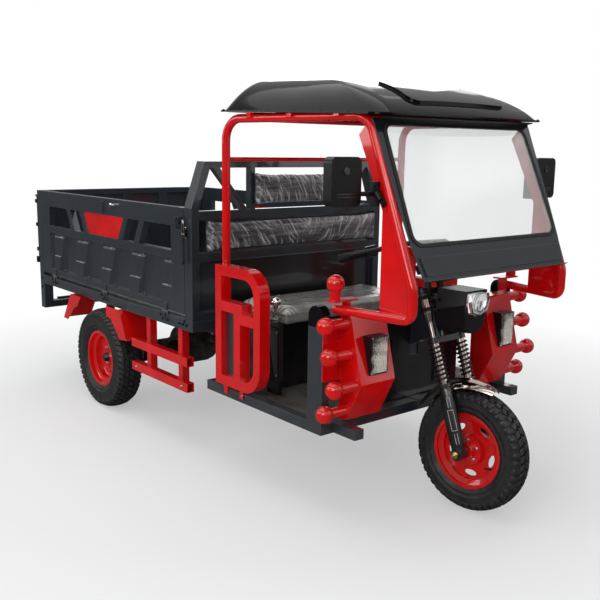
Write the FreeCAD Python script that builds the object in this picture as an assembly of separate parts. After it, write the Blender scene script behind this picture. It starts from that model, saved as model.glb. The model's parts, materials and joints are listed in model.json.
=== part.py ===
import FreeCAD, Part
import math
import os

V = FreeCAD.Vector

# Frame and stance
# X runs forward from the rear axle while the pieces are made, Y to the driver's left, Z up.
# Every piece is moved by REAR_AXLE_X at the end, so that the middle of the length lies at zero.
REAR_AXLE_X = -803.0
WHEELBASE = 2225.0
TRACK_HALF = 566.0
FIT_GAP = 0.3
CUT_MARGIN = 1.0
TINY = 1e-6
SEAT_GAP = 0.3

# Tyres and rims
REAR_TYRE_R = 287.0
REAR_TYRE_HALF = 72.0
FRONT_TYRE_R = 258.0
FRONT_TYRE_HALF = 56.0
RIM_R = 166.0
RIM_SEAT_R = 152.4
RIM_HALF = 56.0
FRONT_RIM_HALF = 43.0
RIM_LIP = 5.0
RIM_WALL = 4.0
RIM_WELL_R = 132.0
RIM_WELL_HALF = 20.0
BEAD_H = 14.0
TYRE_WALL = 11.0
TYRE_FACETS = 48
TYRE_SHARES = ((0.16, 0.84), (0.42, 1.0), (0.80, 0.96), (1.0, 0.52))
REAR_DISC_S = -14.0
REAR_DISC_DISH = 16.0
DISC_T = 6.0
REAR_HUB_R = 48.0
REAR_HUB_OUT = 8.0
REAR_HUB_IN = 44.0
STUB_R = 17.0
STUB_NUT_R = 14.0
STUB_OUT = 26.0
HUB_NECK_SHARE = 0.62
DRUM_R = 112.0
DRUM_W = 52.0
FRONT_DISC_S = 2.0
FRONT_DOME_R = 62.0
FRONT_DOME_OUT = 26.0
FRONT_HUB_R = 34.0
FRONT_HUB_HALF = 52.0
FRONT_AXLE_R = 9.0
AXLE_NUT_R = 13.5
COLLAR_R = 16.0
OVAL_COUNT = 5
OVAL_R = 103.0
OVAL_HALF = 29.0
OVAL_H = 26.0
DRUM_SHARE = 0.52

# Fork, in its own upright frame: s along the legs from the axle, t ahead of the legs
RAKE_DEG = 20.0
REST_STEER_DEG = 6.0
FORK_OFFSET = 45.0
FORK_HALF = 92.0
LEG_R = 21.0
LEG_LOW = -26.0
LEG_TOP = 296.0
LEG_LUG_R = 27.0
LUG_HALF = 24.0
TUBE_R = 14.0
SPRING_R = 25.0
SPRING_WIRE = 7.0
SPRING_TURNS = 9
SPRING_TOP = 466.0
SLEEVE_R = 22.0
SLEEVE_LOW = 562.0
SLEEVE_TAPER = 30.0
POD_S = 806.0
POD_AHEAD = 34.0
POD_R = 46.0
POD_H = 46.0
POD_RIM = 4.0
POD_BACK_SHARE = 0.6
CLAMP_LOW = 468.0
CLAMP_T = 26.0
CLAMP_HIGH = 680.0
CLAMP_EYE_R = 26.0
STEM_R = 15.0
HEAD_R = 29.0
HEAD_PLAY = 2.0
BAR_S = 906.0
BAR_R = 11.0
BAR_HALF = 392.0
BAR_MID = 150.0
BAR_SWEEP = 165.0
BAR_DROP = 14.0
BAR_BEND = 55.0
RISER_R = 14.0
RISER_Y = 48.0
GRIP_R = 16.5
GRIP_L = 122.0
SWITCH_L = 46.0
SWITCH_R = 24.0
LEVER_T = 7.0
LEVER_L = 130.0
LEVER_AHEAD = 42.0

# Front mudguard, in the fork frame
GUARD_R = 299.0
GUARD_T = 2.5
GUARD_HALF = 66.0
GUARD_FROM_DEG = 62.0
GUARD_TO_DEG = 128.0
GUARD_DROP = 22.0
BRIDGE_S = 268.0
BRIDGE_H = 24.0
BRIDGE_T = 9.0
CROWN_SHARE = 0.55

# Headlamp and its cowl, upright in the vehicle frame before the steering is turned
COWL_REAR = 2052.0
COWL_FRONT = 2194.0
COWL_LOW = 707.0
COWL_HIGH = 936.0
COWL_HALF = 84.0
COWL_WALL = 5.0
COWL_ARM = 16.0
COWL_ARM_SHARES = (0.66, 0.90)
COWL_REAR_SHARES = ((0.94, 1.0), (1.0, 0.60), (0.90, 0.27), (0.0, 0.14))
COWL_FRONT_SHARES = ((0.90, 1.0), (1.0, 0.76), (0.81, 0.32), (0.0, 0.20))
LAMP_BACK_SHARES = ((0.80, 0.97), (0.90, 0.80), (0.70, 0.60), (0.0, 0.52))
LAMP_FACE_SHARES = ((0.70, 0.95), (0.80, 0.82), (0.60, 0.64), (0.0, 0.57))
LAMP_DEEP = 36.0
LAMP_OUT = 22.0

# Chassis
RAIL_Y = 335.0
RAIL_W = 50.0
RAIL_H = 80.0
RAIL_TOP = 624.0
RAIL_REAR = -790.0
TIE_SHARES = (0.01, 0.25, 0.62, 0.86)
CAB_REAR = 1107.0
CAB_FRONT = 1940.0
SILL_HALF = 600.0
SILL_W = 45.0
SILL_LOW = 366.0
SILL_H = 44.0
INNER_INSET = 94.0
INNER_Y = SILL_HALF - INNER_INSET
INNER_W = 48.0
STUB_FRONT = 2066.0
FLOOR_T = 3.0
NECK_W = 64.0
NECK_D = 46.0
NECK_FRONT = 1873.0
GUSSET_W = 26.0
GUSSET_LOW = 650.0
POST_FRONT_W = 88.0
POST_FRONT_T = 40.0
POST_FRONT_TOP = 806.0
CAP_R = 44.0
SHIELD_HALF = 296.0
SHIELD_T = 5.0
SHIELD_TOP = 862.0
SHIELD_SIDE_TOP = 740.0
SHIELD_BULGE = 14.0
SHIELD_RIB_SHARES = (-0.86, -0.5, 0.45, 0.81)

# Rear axle, springs, engine
AXLE_R = 38.0
AXLE_HALF = 450.0
DIFF_R = 118.0
DIFF_HALF = 90.0
SHAFT_R = 26.0
NOSE_SHARE = 0.75
LEAF_W = 44.0
LEAF_T = 9.0
LEAF_COUNT = 5
LEAF_HALF = 430.0
LEAF_RISE = 118.0
LEAF_SHRINK_SHARE = 0.82
HANGER_T = 14.0
EYE_R = 17.0
ENGINE_L = 250.0
ENGINE_W = 330.0
ENGINE_H = 250.0
ENGINE_X = 1250.0

# Cargo bed
BED_REAR = -844.0
BED_FRONT = 1013.0
BED_HALF = 621.0
BED_TOP = 1220.0
BEAM_W = 50.0
BEARER_W = 46.0
BEARER_SHARES = (0.06, 0.35, 0.62, 0.90)
BED_PLATE_T = 4.0
CORNER_W = 58.0
CORNER_LOW = 461.0
LOW_BAR_H = 42.0
FRONT_POST_X = 948.0
PANEL_T = 36.0
PANEL_LOW = 702.0
PANEL_SKIN = 3.0
PANEL_GAP = 6.0
HINGE_Z = 690.0
HINGE_R = 8.0
HINGE_L = 58.0
HINGE_PLAY = 0.3
HINGE_SHARES = (0.11, 0.51, 0.90)
TOP_RAIL = 92.0
WINDOW_LOW = 1006.0
MID_LOW = 963.0
LOW_RAIL = 34.0
SIDE_RAIL = 120.0
DIVIDER_W = 50.0
DIVIDER_SHARES = (0.253, 0.357, 0.638, 0.742)
DIVIDER_LEAN = 66.0
GATE_RIB_SHARES = (0.25, 0.5, 0.75)
GATE_RAIL = 64.0
GATE_DEEP = 16.0
STAKE_COUNT = 5
STAKE_START = 180.0
STAKE_PITCH = 338.0
STAKE_W = 126.0
STAKE_LEAN = 68.0
STAKE_TAPER = 28.0
STAKE_DEEP = 27.0
STAKE_FLANK = 24.0
STAKE_CAP_H = 34.0
STAKE_CAP_D = 20.0
STAKE_STEP_Z = 822.0
STAKE_STEP_D = 6.0
TRIM_IN = 6.0
LATCH_W = 34.0
LATCH_H = 74.0
LATCH_T = 9.0

# Headboard
HEAD_X = 1013.0
HEAD_T = 36.0
HEAD_TOP = 1439.0
HEAD_TOP_HALF = 546.0
HEAD_BAR = 30.0
HEAD_POST = 42.0
HEAD_MID = 1186.0
HEAD_MID_H = 40.0
HEAD_LOW = 984.0
HEAD_PANEL_T = 4.0
BRACE_Y = 296.0

# Seat and pads
SEAT_REAR = 1100.0
SEAT_FRONT = 1478.0
SEAT_HALF = 420.0
SEAT_TOP = 776.0
SEAT_T = 62.0
SEATBOX_REAR = 1082.0
SEATBOX_FRONT = 1436.0
SEATBOX_HALF = 400.0
SEATBOX_WALL = 4.0
HATCH_HALF = 190.0
HATCH_EDGE = 56.0
BACK_T = 44.0
LOWER_PAD_HALF = 562.0
LOWER_PAD_LOW = 1008.0
LOWER_PAD_HIGH = 1168.0
UPPER_PAD_HALF = 276.0
UPPER_PAD_LOW = 1222.0
UPPER_PAD_HIGH = 1392.0

# Cab frame of red tube
TUBE_CAB_R = 19.0
CAB_POST_X = 1219.0
CAB_POST_INSET = 36.0
CAB_POST_Y = SILL_HALF - CAB_POST_INSET
CAB_TOP = 1630.0
PILLAR_TOP_X = 2040.0
PILLAR_Y = 474.0
PILLAR_LOW_X = 2294.0
PILLAR_LOW_Z = 1000.0
LOOP_Z = 882.0
LOOP_GAP = 2.0
LOOP_INSET = 60.0
LOOP_REAR = CAB_FRONT + LOOP_GAP
LOOP_REAR_Y = SILL_HALF - LOOP_INSET
BEND_TOP = 95.0
BEND_LOW = 80.0
PILLAR_PLATE_T = 5.0
PILLAR_PLATE_SHARES = (0.02, 0.56)
PILLAR_PLATE_W = 58.0
PILLAR_PLATE_X = 2126.0
CROSS_R = 10.0
CROSS_Z = 1453.0
ROOF_TUBE_R = 12.0
ROOF_BRACKET_SHARES = (0.2, 0.5, 0.82)
ROOF_BRACKET_W = 30.0

# Roof shell
ROOF_REAR = 1168.0
ROOF_FRONT = 2155.0
ROOF_BOW = 24.0
ROOF_LOW = 1650.0
ROOF_HIGH = 1788.0
ROOF_REAR_HALF = 596.0
ROOF_FRONT_HALF = 507.0
ROOF_TILT_DEG = 1.7
ROOF_FLANGE = 12.0
ROOF_CORNER = 70.0
ROOF_WALL = 5.0
ROOF_RIM_T = 8.0
ROOF_REAR_RUN = 75.0
ROOF_SIDE_RUN = 162.0
ROOF_FRONT_RUN = 395.0
ROOF_LEVEL_SHARES = ((0.0, 0.0, 0.0, 0.0, 1.0), (0.30, 0.18, 0.16, 0.13, 1.14),
                     (0.58, 0.40, 0.37, 0.34, 1.07), (0.81, 0.66, 0.63, 0.62, 0.86),
                     (0.94, 0.90, 0.86, 0.86, 0.64), (1.0, 1.35, 1.16, 1.12, 0.43))
BROW_REAR = 1812.0
BROW_FRONT = 2086.0
BROW_REAR_HALF = 226.0
BROW_FRONT_HALF = 300.0
BROW_T = 9.0
BROW_CORNER = 40.0

# Windscreen
SCREEN_TOP_X = 2062.0
SCREEN_TOP_Z = 1606.0
SCREEN_LOW_X = 2262.0
SCREEN_LOW_Z = 1146.0
SCREEN_TOP_HALF = 408.0
SCREEN_LOW_HALF = 434.0
SCREEN_CORNER = 46.0
GLASS_T = 5.0
SEAL_W = 15.0
SEAL_T = 11.0
NOSE_LOW_X = 2314.0
NOSE_LOW_Z = 1024.0
NOSE_HALF = 444.0
NOSE_T = 4.0
NOSE_LIP = 22.0
TAB_SHARES = (-0.19, 0.3, 0.82)
TAB_DEEP = 12.0
TAB_H = 34.0

# Lamp boxes with ball pegs
BOX_W = 188.0
BOX_OUT = INNER_Y
BOX_IN = BOX_OUT - BOX_W
BOX_TOP = 850.0
BOX_TOP_L = 64.0
BOX_EDGE_L = 130.0
BOX_FOOT_L = 46.0
BOX_TOP_X = CAB_FRONT + BOX_TOP_L
BOX_EDGE_X = CAB_FRONT + BOX_EDGE_L
BOX_EDGE_Z = 590.0
BOX_FOOT_X = CAB_FRONT + BOX_FOOT_L
BOX_FOOT_Z = 426.0
BOX_WALL = 4.0
PEG_R = 20.0
PEG_FOOT_R = 23.0
BALL_R = 36.0
BALL_REACH = 114.0
BALL_Y = BOX_OUT + BALL_REACH
PEG_PLACES = ((38.0, 826.0), (64.0, 708.0), (98.0, 584.0), (42.0, 470.0))
TOP_PEG_AHEAD = 26.0
TOP_PEG_REACH = 54.0
TOP_PEG_X = CAB_FRONT + TOP_PEG_AHEAD
TOP_PEG_Y = BOX_OUT + TOP_PEG_REACH
TOP_BALL_Z = 988.0
TOP_PLATE_Z = 924.0
TOP_PLATE_T = 8.0
TOP_PLATE_HALF = 24.0
BOXLAMP_HALF = 48.0
BOXLAMP_LOW = 622.0
BOXLAMP_HIGH = 778.0
BOXLAMP_OUT = 12.0

# Leg guards beside the seat
DGUARD_AHEAD = 22.0
DGUARD_L = 339.0
DGUARD_MID_L = 169.0
DGUARD_REAR = CAB_POST_X + DGUARD_AHEAD
DGUARD_FRONT = DGUARD_REAR + DGUARD_L
DGUARD_LOW = 438.0
DGUARD_HIGH = 988.0
DGUARD_OVER = 40.0
DGUARD_OUT = SILL_HALF + DGUARD_OVER
DGUARD_DEEP = 55.0
DGUARD_BAR = 46.0
DGUARD_ROUND = 118.0
DGUARD_MID_X = DGUARD_REAR + DGUARD_MID_L
DGUARD_LEFT_Z = 805.0
DGUARD_RIGHT_Z = 763.0
LUG_W = 26.0
LUG_T = 6.0
LUG_LOW = 384.0
LUG_SHARES = (0.06, 0.42)
CELL_PANEL_T = 4.0

# Side guards, mudguards, mirrors
RAILG_REAR = 392.0
RAILG_FRONT = 958.0
RAILG_D = 40.0
RAILG_H = 46.0
RAILG_HIGH_Z = 462.0
RAILG_LOW_Z = 332.0
RAILG_WALL = 3.0
UPRIGHT_SHARES = (0.17, 0.74)
UPRIGHT_W = 40.0
MUD_OVER = 29.0
MUD_PLAY = 24.0
MUD_OUT = BED_HALF + MUD_OVER
MUD_IN = TRACK_HALF - REAR_TYRE_HALF - MUD_PLAY
MUD_T = 3.0
MUD_FRONT = ((150.0, 624.0), (306.0, 624.0), (384.0, 466.0), (306.0, 460.0), (205.0, 560.0),
             (150.0, 566.0))
MUD_REAR = ((-318.0, 624.0), (-178.0, 624.0), (-232.0, 560.0), (-268.0, 548.0), (-369.0, 460.0),
            (-429.0, 462.0))
MIRROR_X = 2058.0
MIRROR_Y = 620.0
MIRROR_Z = 1386.0
MIRROR_W = 148.0
MIRROR_H = 182.0
MIRROR_T = 46.0
MIRROR_ARM_R = 9.0

# Rear lamps, controls
TAIL_W = 150.0
TAIL_H = 62.0
TAIL_T = 34.0
TAIL_Y = 430.0
PEDAL_X = 1700.0
PEDAL_Y = 190.0
PEDAL_W = 62.0
PEDAL_L = 82.0
PEDAL_H = 92.0
HANDLE_X = 1476.0
HANDLE_Y = 478.0
HANDLE_H = 440.0
HANDLE_R = 11.0

X, Y, Z = V(1, 0, 0), V(0, 1, 0), V(0, 0, 1)
ORIGIN = V(0, 0, 0)


# Small helpers
def box(x0, x1, y0, y1, z0, z1):
    return Part.makeBox(x1 - x0, y1 - y0, z1 - z0, V(x0, y0, z0))


def rod(start, end, radius):
    way = end.sub(start)
    return Part.makeCylinder(radius, way.Length, start, way)


def ball(centre, radius):
    return Part.makeSphere(radius, centre)


def prism_of(points, way):
    return Part.Face(Part.makePolygon(points + [points[0]])).extrude(way)


def prism(points, way):
    return prism_of([V(*p) for p in points], way)


def edges_along(shape, way):
    # the straight edges that run along a direction
    return [e for e in shape.Edges if abs(abs(e.tangentAt(e.FirstParameter).dot(way)) - 1) < TINY]


def upright_edges(shape):
    return edges_along(shape, Z)


def side_prism(points, y0, y1):
    return prism([(x, y0, z) for x, z in points], V(0, y1 - y0, 0))


def front_prism(points, x0, x1):
    return prism([(x0, y, z) for y, z in points], V(x1 - x0, 0, 0))


def fuse(shapes):
    shapes = list(shapes)
    if len(shapes) == 1:
        return shapes[0]
    return shapes[0].multiFuse(shapes[1:]).removeSplitter()


def left_of(shape):
    return shape.mirror(ORIGIN, Y)


def both(shape):
    return Part.makeCompound([shape, left_of(shape)])


def turned(profile, centre):
    # profile holds (radius, along Y) points of a ring about a Y line
    wire = Part.makePolygon([V(r, s, 0) for r, s in profile] + [V(profile[0][0], profile[0][1], 0)])
    shape = Part.Face(wire).revolve(ORIGIN, Y, 360)
    shape.translate(centre)
    return shape


def bend_arc(before, corner, after, bend, radius):
    # the curved stretch of a tube at a corner, with its two ends
    a = before.sub(corner).normalize()
    b = after.sub(corner).normalize()
    half = a.getAngle(b) / 2
    start = corner.add(V(a).multiply(bend / math.tan(half)))
    end = corner.add(V(b).multiply(bend / math.tan(half)))
    centre = corner.add(a.add(b).normalize().multiply(bend / math.sin(half)))
    axis = start.sub(centre).cross(end.sub(centre)).normalize()
    disc = Part.Face(Part.Wire(Part.makeCircle(radius, start, a)))
    return disc.revolve(centre, axis, 180 - math.degrees(2 * half)), start, end


def pipe(points, bends, radius):
    # a bent tube as straight rods with curved stretches between them
    parts = []
    last = points[0]
    for before, corner, after, bend in zip(points, points[1:], points[2:], bends):
        arc, start, end = bend_arc(before, corner, after, bend, radius)
        parts += [rod(last, start, radius), arc]
        last = end
    return fuse(parts + [rod(last, points[-1], radius)])


# Wheels. A ring profile is written for the driver's left side, outward along +Y
def tyre(radius, half, rim_half):
    high = radius - RIM_SEAT_R
    bead = rim_half - RIM_LIP - FIT_GAP
    seat = (RIM_SEAT_R + FIT_GAP) / math.cos(math.pi / TYRE_FACETS)
    outer = [(seat, bead), (seat + BEAD_H, bead)]
    outer += [(RIM_SEAT_R + high * h, half * w) for h, w in TYRE_SHARES]
    inner = [(r - TYRE_WALL if r == radius else r, max(s - TYRE_WALL, 0.0)) for r, s in outer[1:]]
    inner[-2] = (inner[-2][0] - TYRE_WALL / 2, inner[-2][1])
    ring = outer + [(r, -s) for r, s in reversed(outer)] + [(r, -s) for r, s in inner[1:]]
    ring += list(reversed(inner[1:]))
    return ring


def tyre_shape(radius, half, rim_half, centre):
    # a ring of flat facets, which keeps the tyre light
    ring = tyre(radius, half, rim_half)
    spans = []
    for n in range(TYRE_FACETS):
        turn = math.radians(360.0 * n / TYRE_FACETS)
        spans.append([centre.add(V(r * math.cos(turn), s, r * math.sin(turn))) for r, s in ring])
    faces = []
    for near, far in zip(spans, spans[1:] + spans[:1]):
        edges = zip(near, near[1:] + near[:1], far[1:] + far[:1], far)
        faces += [Part.Face(Part.makePolygon([a, b, c, d, a])) for a, b, c, d in edges]
    return Part.makeSolid(Part.makeShell(faces))


def rim_barrel(half):
    seat, well = RIM_SEAT_R, RIM_WELL_R
    edge = RIM_WELL_HALF
    slope = edge + RIM_WALL + RIM_LIP
    outer = [(RIM_R, half), (RIM_R, half - RIM_LIP), (seat, half - RIM_LIP), (seat, slope),
             (well, edge)]
    outer += [(r, -s) for r, s in reversed(outer)]
    inner = [(seat - RIM_WALL, -half), (seat - RIM_WALL, -slope - RIM_WALL / 2)]
    inner += [(well - RIM_WALL, -edge - RIM_WALL / 2)]
    inner += [(r, -s) for r, s in reversed(inner)]
    return outer + inner


def rear_rim(centre):
    barrel = turned(rim_barrel(RIM_HALF), centre)
    inner = RIM_WELL_R - RIM_WALL
    low = REAR_DISC_S - REAR_DISC_DISH
    mid = (inner + REAR_HUB_R) / 2
    disc = [(inner + RIM_WALL / 2, REAR_DISC_S), (inner + RIM_WALL / 2, REAR_DISC_S + DISC_T)]
    disc += [(mid, low + DISC_T), (REAR_HUB_R / 2, low + DISC_T), (REAR_HUB_R / 2, low), (mid, low)]
    bore = STUB_R + FIT_GAP
    hub = [(bore, -REAR_HUB_IN), (REAR_HUB_R, -REAR_HUB_IN), (REAR_HUB_R, low + DISC_T)]
    hub += [(REAR_HUB_R * HUB_NECK_SHARE, REAR_HUB_OUT), (bore, REAR_HUB_OUT)]
    return fuse([barrel, turned(disc, centre), turned(hub, centre)])


def front_rim(centre):
    # the dished face with its oval holes lies to the driver's right
    barrel = turned(rim_barrel(FRONT_RIM_HALF), ORIGIN)
    inner = RIM_WELL_R - RIM_WALL / 2
    face = -FRONT_DISC_S
    out = face - FRONT_DOME_OUT
    disc = [(inner, face), (FRONT_DOME_R + DISC_T, face), (FRONT_DOME_R, out), (FRONT_HUB_R / 2, out)]
    disc += [(FRONT_HUB_R / 2, out + DISC_T), (FRONT_DOME_R - DISC_T, out + DISC_T)]
    disc += [(FRONT_DOME_R, face + DISC_T), (inner, face + DISC_T)]
    bore = FRONT_AXLE_R + FIT_GAP
    hub = [(bore, -FRONT_HUB_HALF), (FRONT_HUB_R, -FRONT_HUB_HALF)]
    hub += [(FRONT_HUB_R, FRONT_HUB_HALF), (bore, FRONT_HUB_HALF)]
    drum = [(FRONT_HUB_R / 2, face + 2 * DISC_T), (RIM_WELL_R * DRUM_SHARE, face + 2 * DISC_T)]
    drum += [(RIM_WELL_R * DRUM_SHARE, FRONT_HUB_HALF), (FRONT_HUB_R / 2, FRONT_HUB_HALF)]
    shape = fuse([barrel, turned(disc, ORIGIN), turned(hub, ORIGIN), turned(drum, ORIGIN)])
    for n in range(OVAL_COUNT):
        shape = shape.cut(oval_cutter(360.0 * (n + 0.5) / OVAL_COUNT))
    shape.translate(centre)
    return shape


def oval_cutter(angle):
    hole = Part.Ellipse(ORIGIN, OVAL_HALF, OVAL_H / 2).toShape()
    hole.rotate(ORIGIN, X, 90)
    hole.rotate(ORIGIN, Y, 90)
    hole.translate(V(OVAL_R, -RIM_R, 0))
    cutter = Part.Face(Part.Wire(hole)).extrude(V(0, 2 * RIM_R, 0))
    cutter.rotate(ORIGIN, Y, angle)
    return cutter


# Placing of steered pieces
RAKE = math.radians(RAKE_DEG)
LEAN = math.asin(math.sin(RAKE) * math.sin(math.radians(REST_STEER_DEG)))
TREAD_HALF = FRONT_TYRE_HALF * TYRE_SHARES[-1][1]
LEAN_DROP = FORK_OFFSET * math.sin(RAKE) * (1 - math.cos(math.radians(REST_STEER_DEG)))
FRONT_AXLE_Z = FRONT_TYRE_R * math.cos(LEAN) + TREAD_HALF * math.sin(LEAN) + LEAN_DROP
FRONT_AXLE = V(WHEELBASE, 0, FRONT_AXLE_Z)
STEER_UP = V(-math.sin(RAKE), 0, math.cos(RAKE))
STEER_FORE = V(math.cos(RAKE), 0, math.sin(RAKE))
STEER_POINT = FRONT_AXLE.sub(V(STEER_FORE).multiply(FORK_OFFSET))


def fork_point(s, t, y):
    return FRONT_AXLE.add(V(STEER_UP).multiply(s)).add(V(STEER_FORE).multiply(t)).add(V(0, y, 0))


def raked(shape):
    shape = shape.copy()
    shape.rotate(ORIGIN, Y, -RAKE_DEG)
    shape.translate(FRONT_AXLE)
    return shape


def steered(shape):
    shape = shape.copy()
    shape.rotate(STEER_POINT, STEER_UP, REST_STEER_DEG)
    return shape


def fork_legs():
    leg = rod(V(0, -FORK_HALF, LEG_LOW + LEG_R), V(0, -FORK_HALF, LEG_TOP), LEG_R)
    lug = rod(V(0, -FORK_HALF - LUG_HALF, 0), V(0, -FORK_HALF + LUG_HALF, 0), LEG_LUG_R)
    cup = rod(V(0, -FORK_HALF, LEG_TOP - CLAMP_T / 2), V(0, -FORK_HALF, LEG_TOP),
              SPRING_R + SPRING_WIRE / 2)
    legs = [leg, lug, cup]
    legs += [left_of(part) for part in legs]
    axle = rod(V(0, -FORK_HALF, 0), V(0, FORK_HALF, 0), FRONT_AXLE_R)
    collar = rod(V(0, FRONT_HUB_HALF + FIT_GAP, 0), V(0, FORK_HALF, 0), COLLAR_R)
    bridge = box(-BRIDGE_T, BRIDGE_T, -FORK_HALF, FORK_HALF, BRIDGE_S, BRIDGE_S + BRIDGE_H)
    nut = rod(V(0, -FORK_HALF, 0), V(0, -FORK_HALF - LUG_HALF - BRIDGE_T, 0), AXLE_NUT_R)
    tube_hole = rod(V(0, -FORK_HALF, LEG_TOP - CLAMP_T), V(0, -FORK_HALF, LEG_TOP), TUBE_R)
    legs = fuse(legs + [axle, collar, left_of(collar), bridge, nut, left_of(nut)])
    legs = legs.cut(fuse([tube_hole, left_of(tube_hole)]))
    return steered(raked(legs))


def fork_tubes():
    # chromed tubes with the coils of their springs round them
    base = LEG_TOP - CLAMP_T
    step = (SPRING_TOP - LEG_TOP) / SPRING_TURNS
    core_r = (TUBE_R + SPRING_R) / 2
    tube = rod(V(0, -FORK_HALF, base), V(0, -FORK_HALF, CLAMP_HIGH + CLAMP_T), TUBE_R)
    core = rod(V(0, -FORK_HALF, LEG_TOP), V(0, -FORK_HALF, SPRING_TOP), core_r)
    rings = [spring_disc(LEG_TOP + step * (n + 0.5), core_r) for n in range(SPRING_TURNS)]
    return steered(raked(both(fuse([tube, core, fork_sleeve()] + rings))))


def fork_sleeve():
    # a wide cover that tapers to the tube below
    foot, knee = V(0, -FORK_HALF, SLEEVE_LOW), V(0, -FORK_HALF, SLEEVE_LOW + SLEEVE_TAPER)
    taper = Part.makeCone(TUBE_R, SLEEVE_R, SLEEVE_TAPER, foot, Z)
    return fuse([taper, rod(knee, V(0, -FORK_HALF, CLAMP_HIGH), SLEEVE_R)])


def spring_disc(level, core_r):
    half = SPRING_WIRE / 2
    outer = SPRING_R + half
    wire = [V(core_r - half, -half, 0), V(outer - half, -half, 0), V(outer, 0, 0)]
    wire += [V(outer - half, half, 0), V(core_r - half, half, 0)]
    ring = Part.Face(Part.makePolygon(wire + [wire[0]])).revolve(ORIGIN, Y, 360)
    ring.rotate(ORIGIN, X, 90)
    ring.translate(V(0, -FORK_HALF, level))
    return ring


def clamp(level, holes):
    plate_half = CLAMP_EYE_R
    arm = prism([(-FORK_OFFSET - plate_half, -plate_half, level),
                 (-FORK_OFFSET - plate_half, plate_half, level),
                 (plate_half / 2, FORK_HALF, level), (plate_half / 2, -FORK_HALF, level)], V(0, 0,
                                                                                             CLAMP_T))
    eye = rod(V(0, -FORK_HALF, level), V(0, -FORK_HALF, level + CLAMP_T), CLAMP_EYE_R)
    shape = fuse([arm, eye, left_of(eye)])
    return shape.cut(holes)


def fork_crown():
    hole = rod(V(0, -FORK_HALF, 0), V(0, -FORK_HALF, BAR_S), TUBE_R)
    holes = fuse([hole, left_of(hole)])
    low = clamp(CLAMP_LOW, holes)
    high = clamp(CLAMP_HIGH, holes)
    stem = rod(V(-FORK_OFFSET, 0, CLAMP_LOW), V(-FORK_OFFSET, 0, CLAMP_HIGH + CLAMP_T), STEM_R)
    top = CLAMP_HIGH + CLAMP_T
    riser = rod(V(0, -RISER_Y, top - CLAMP_T / 2), V(0, -RISER_Y, BAR_S - BAR_R), RISER_R)
    shape = fuse([low, high, stem, riser, left_of(riser), pod()])
    return steered(raked(shape))


def pod():
    # the instrument's round case on its bracket
    wide, back, rim = POD_R, POD_R * POD_BACK_SHARE, POD_R - POD_RIM
    ring = [(0, 0), (back, 0), (wide, POD_H / 2), (wide, POD_H), (rim, POD_H), (rim, POD_H - POD_RIM),
            (0, POD_H - POD_RIM)]
    wire = Part.makePolygon([V(r, 0, h) for r, h in ring] + [ORIGIN])
    case = Part.Face(wire).revolve(ORIGIN, Z, 360)
    case.translate(V(POD_AHEAD, 0, POD_S))
    bracket = box(POD_AHEAD - RISER_R, POD_AHEAD, -RISER_R, RISER_R, CLAMP_HIGH, POD_S + POD_H / 2)
    foot = box(-FORK_OFFSET, POD_AHEAD, -RISER_R, RISER_R, CLAMP_HIGH, CLAMP_HIGH + POD_RIM)
    return fuse([case, bracket, foot])


def bar_points():
    return [V(-BAR_SWEEP, -BAR_HALF, BAR_S - BAR_DROP), V(0, -BAR_MID, BAR_S),
            V(0, BAR_MID, BAR_S), V(-BAR_SWEEP, BAR_HALF, BAR_S - BAR_DROP)]


def bar_along(start, length):
    tip, knee = bar_points()[0], bar_points()[1]
    way = knee.sub(tip).normalize()
    first = tip.add(V(way).multiply(start))
    return first, first.add(V(way).multiply(length))


def handlebar():
    bar = pipe(bar_points(), [BAR_BEND, BAR_BEND], BAR_R)
    first, last = bar_along(GRIP_L + SEAT_GAP, SWITCH_L)
    switch = rod(first, last, SWITCH_R)
    lever = lever_shape()
    shape = fuse([bar, switch, left_of(switch), lever, left_of(lever)])
    return steered(raked(shape))


def lever_shape():
    first, last = bar_along(GRIP_L + SWITCH_L / 2, 0.0), bar_along(GRIP_L + SWITCH_L / 2 - LEVER_L, 0.0)
    ahead = V(LEVER_AHEAD, 0, 0)
    pivot = first[0]
    knee = pivot.add(ahead)
    end = last[0].add(V(LEVER_AHEAD, 0, 0))
    return fuse([rod(pivot, knee, LEVER_T), rod(knee, end, LEVER_T), ball(knee, LEVER_T)])


def grips():
    first, last = bar_along(0.0, GRIP_L)
    grip = rod(first, last, GRIP_R).cut(rod(first, last, BAR_R))
    return steered(raked(both(grip)))


def front_mudguard():
    # an arched plate over the wheel, its sides turned down
    a0, a1 = math.radians(GUARD_FROM_DEG - RAKE_DEG), math.radians(GUARD_TO_DEG - RAKE_DEG)
    sector = GUARD_TO_DEG - GUARD_FROM_DEG
    outer, half, drop = GUARD_R + GUARD_T, GUARD_HALF, GUARD_DROP
    crown = half * CROWN_SHARE
    points = [(GUARD_R - drop, -half), (outer - drop, -half - GUARD_T), (outer, -crown), (outer, crown)]
    points += [(outer - drop, half + GUARD_T), (GUARD_R - drop, half), (GUARD_R, crown),
               (GUARD_R, -crown)]
    wire = Part.makePolygon([V(r, s, 0) for r, s in points] + [V(points[0][0], points[0][1], 0)])
    shape = Part.Face(wire).revolve(ORIGIN, Y, sector)
    shape.rotate(ORIGIN, Y, -math.degrees(a1))
    gap = box(-BRIDGE_T - FIT_GAP, BRIDGE_T + FIT_GAP, -outer, outer, 0, BRIDGE_S + BRIDGE_H + FIT_GAP)
    stay = box(-BRIDGE_T, BRIDGE_T, -half / 2, half / 2, BRIDGE_S + BRIDGE_H + FIT_GAP,
               GUARD_R + GUARD_T / 2)
    return steered(raked(fuse([shape, stay]).cut(gap)))


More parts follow.
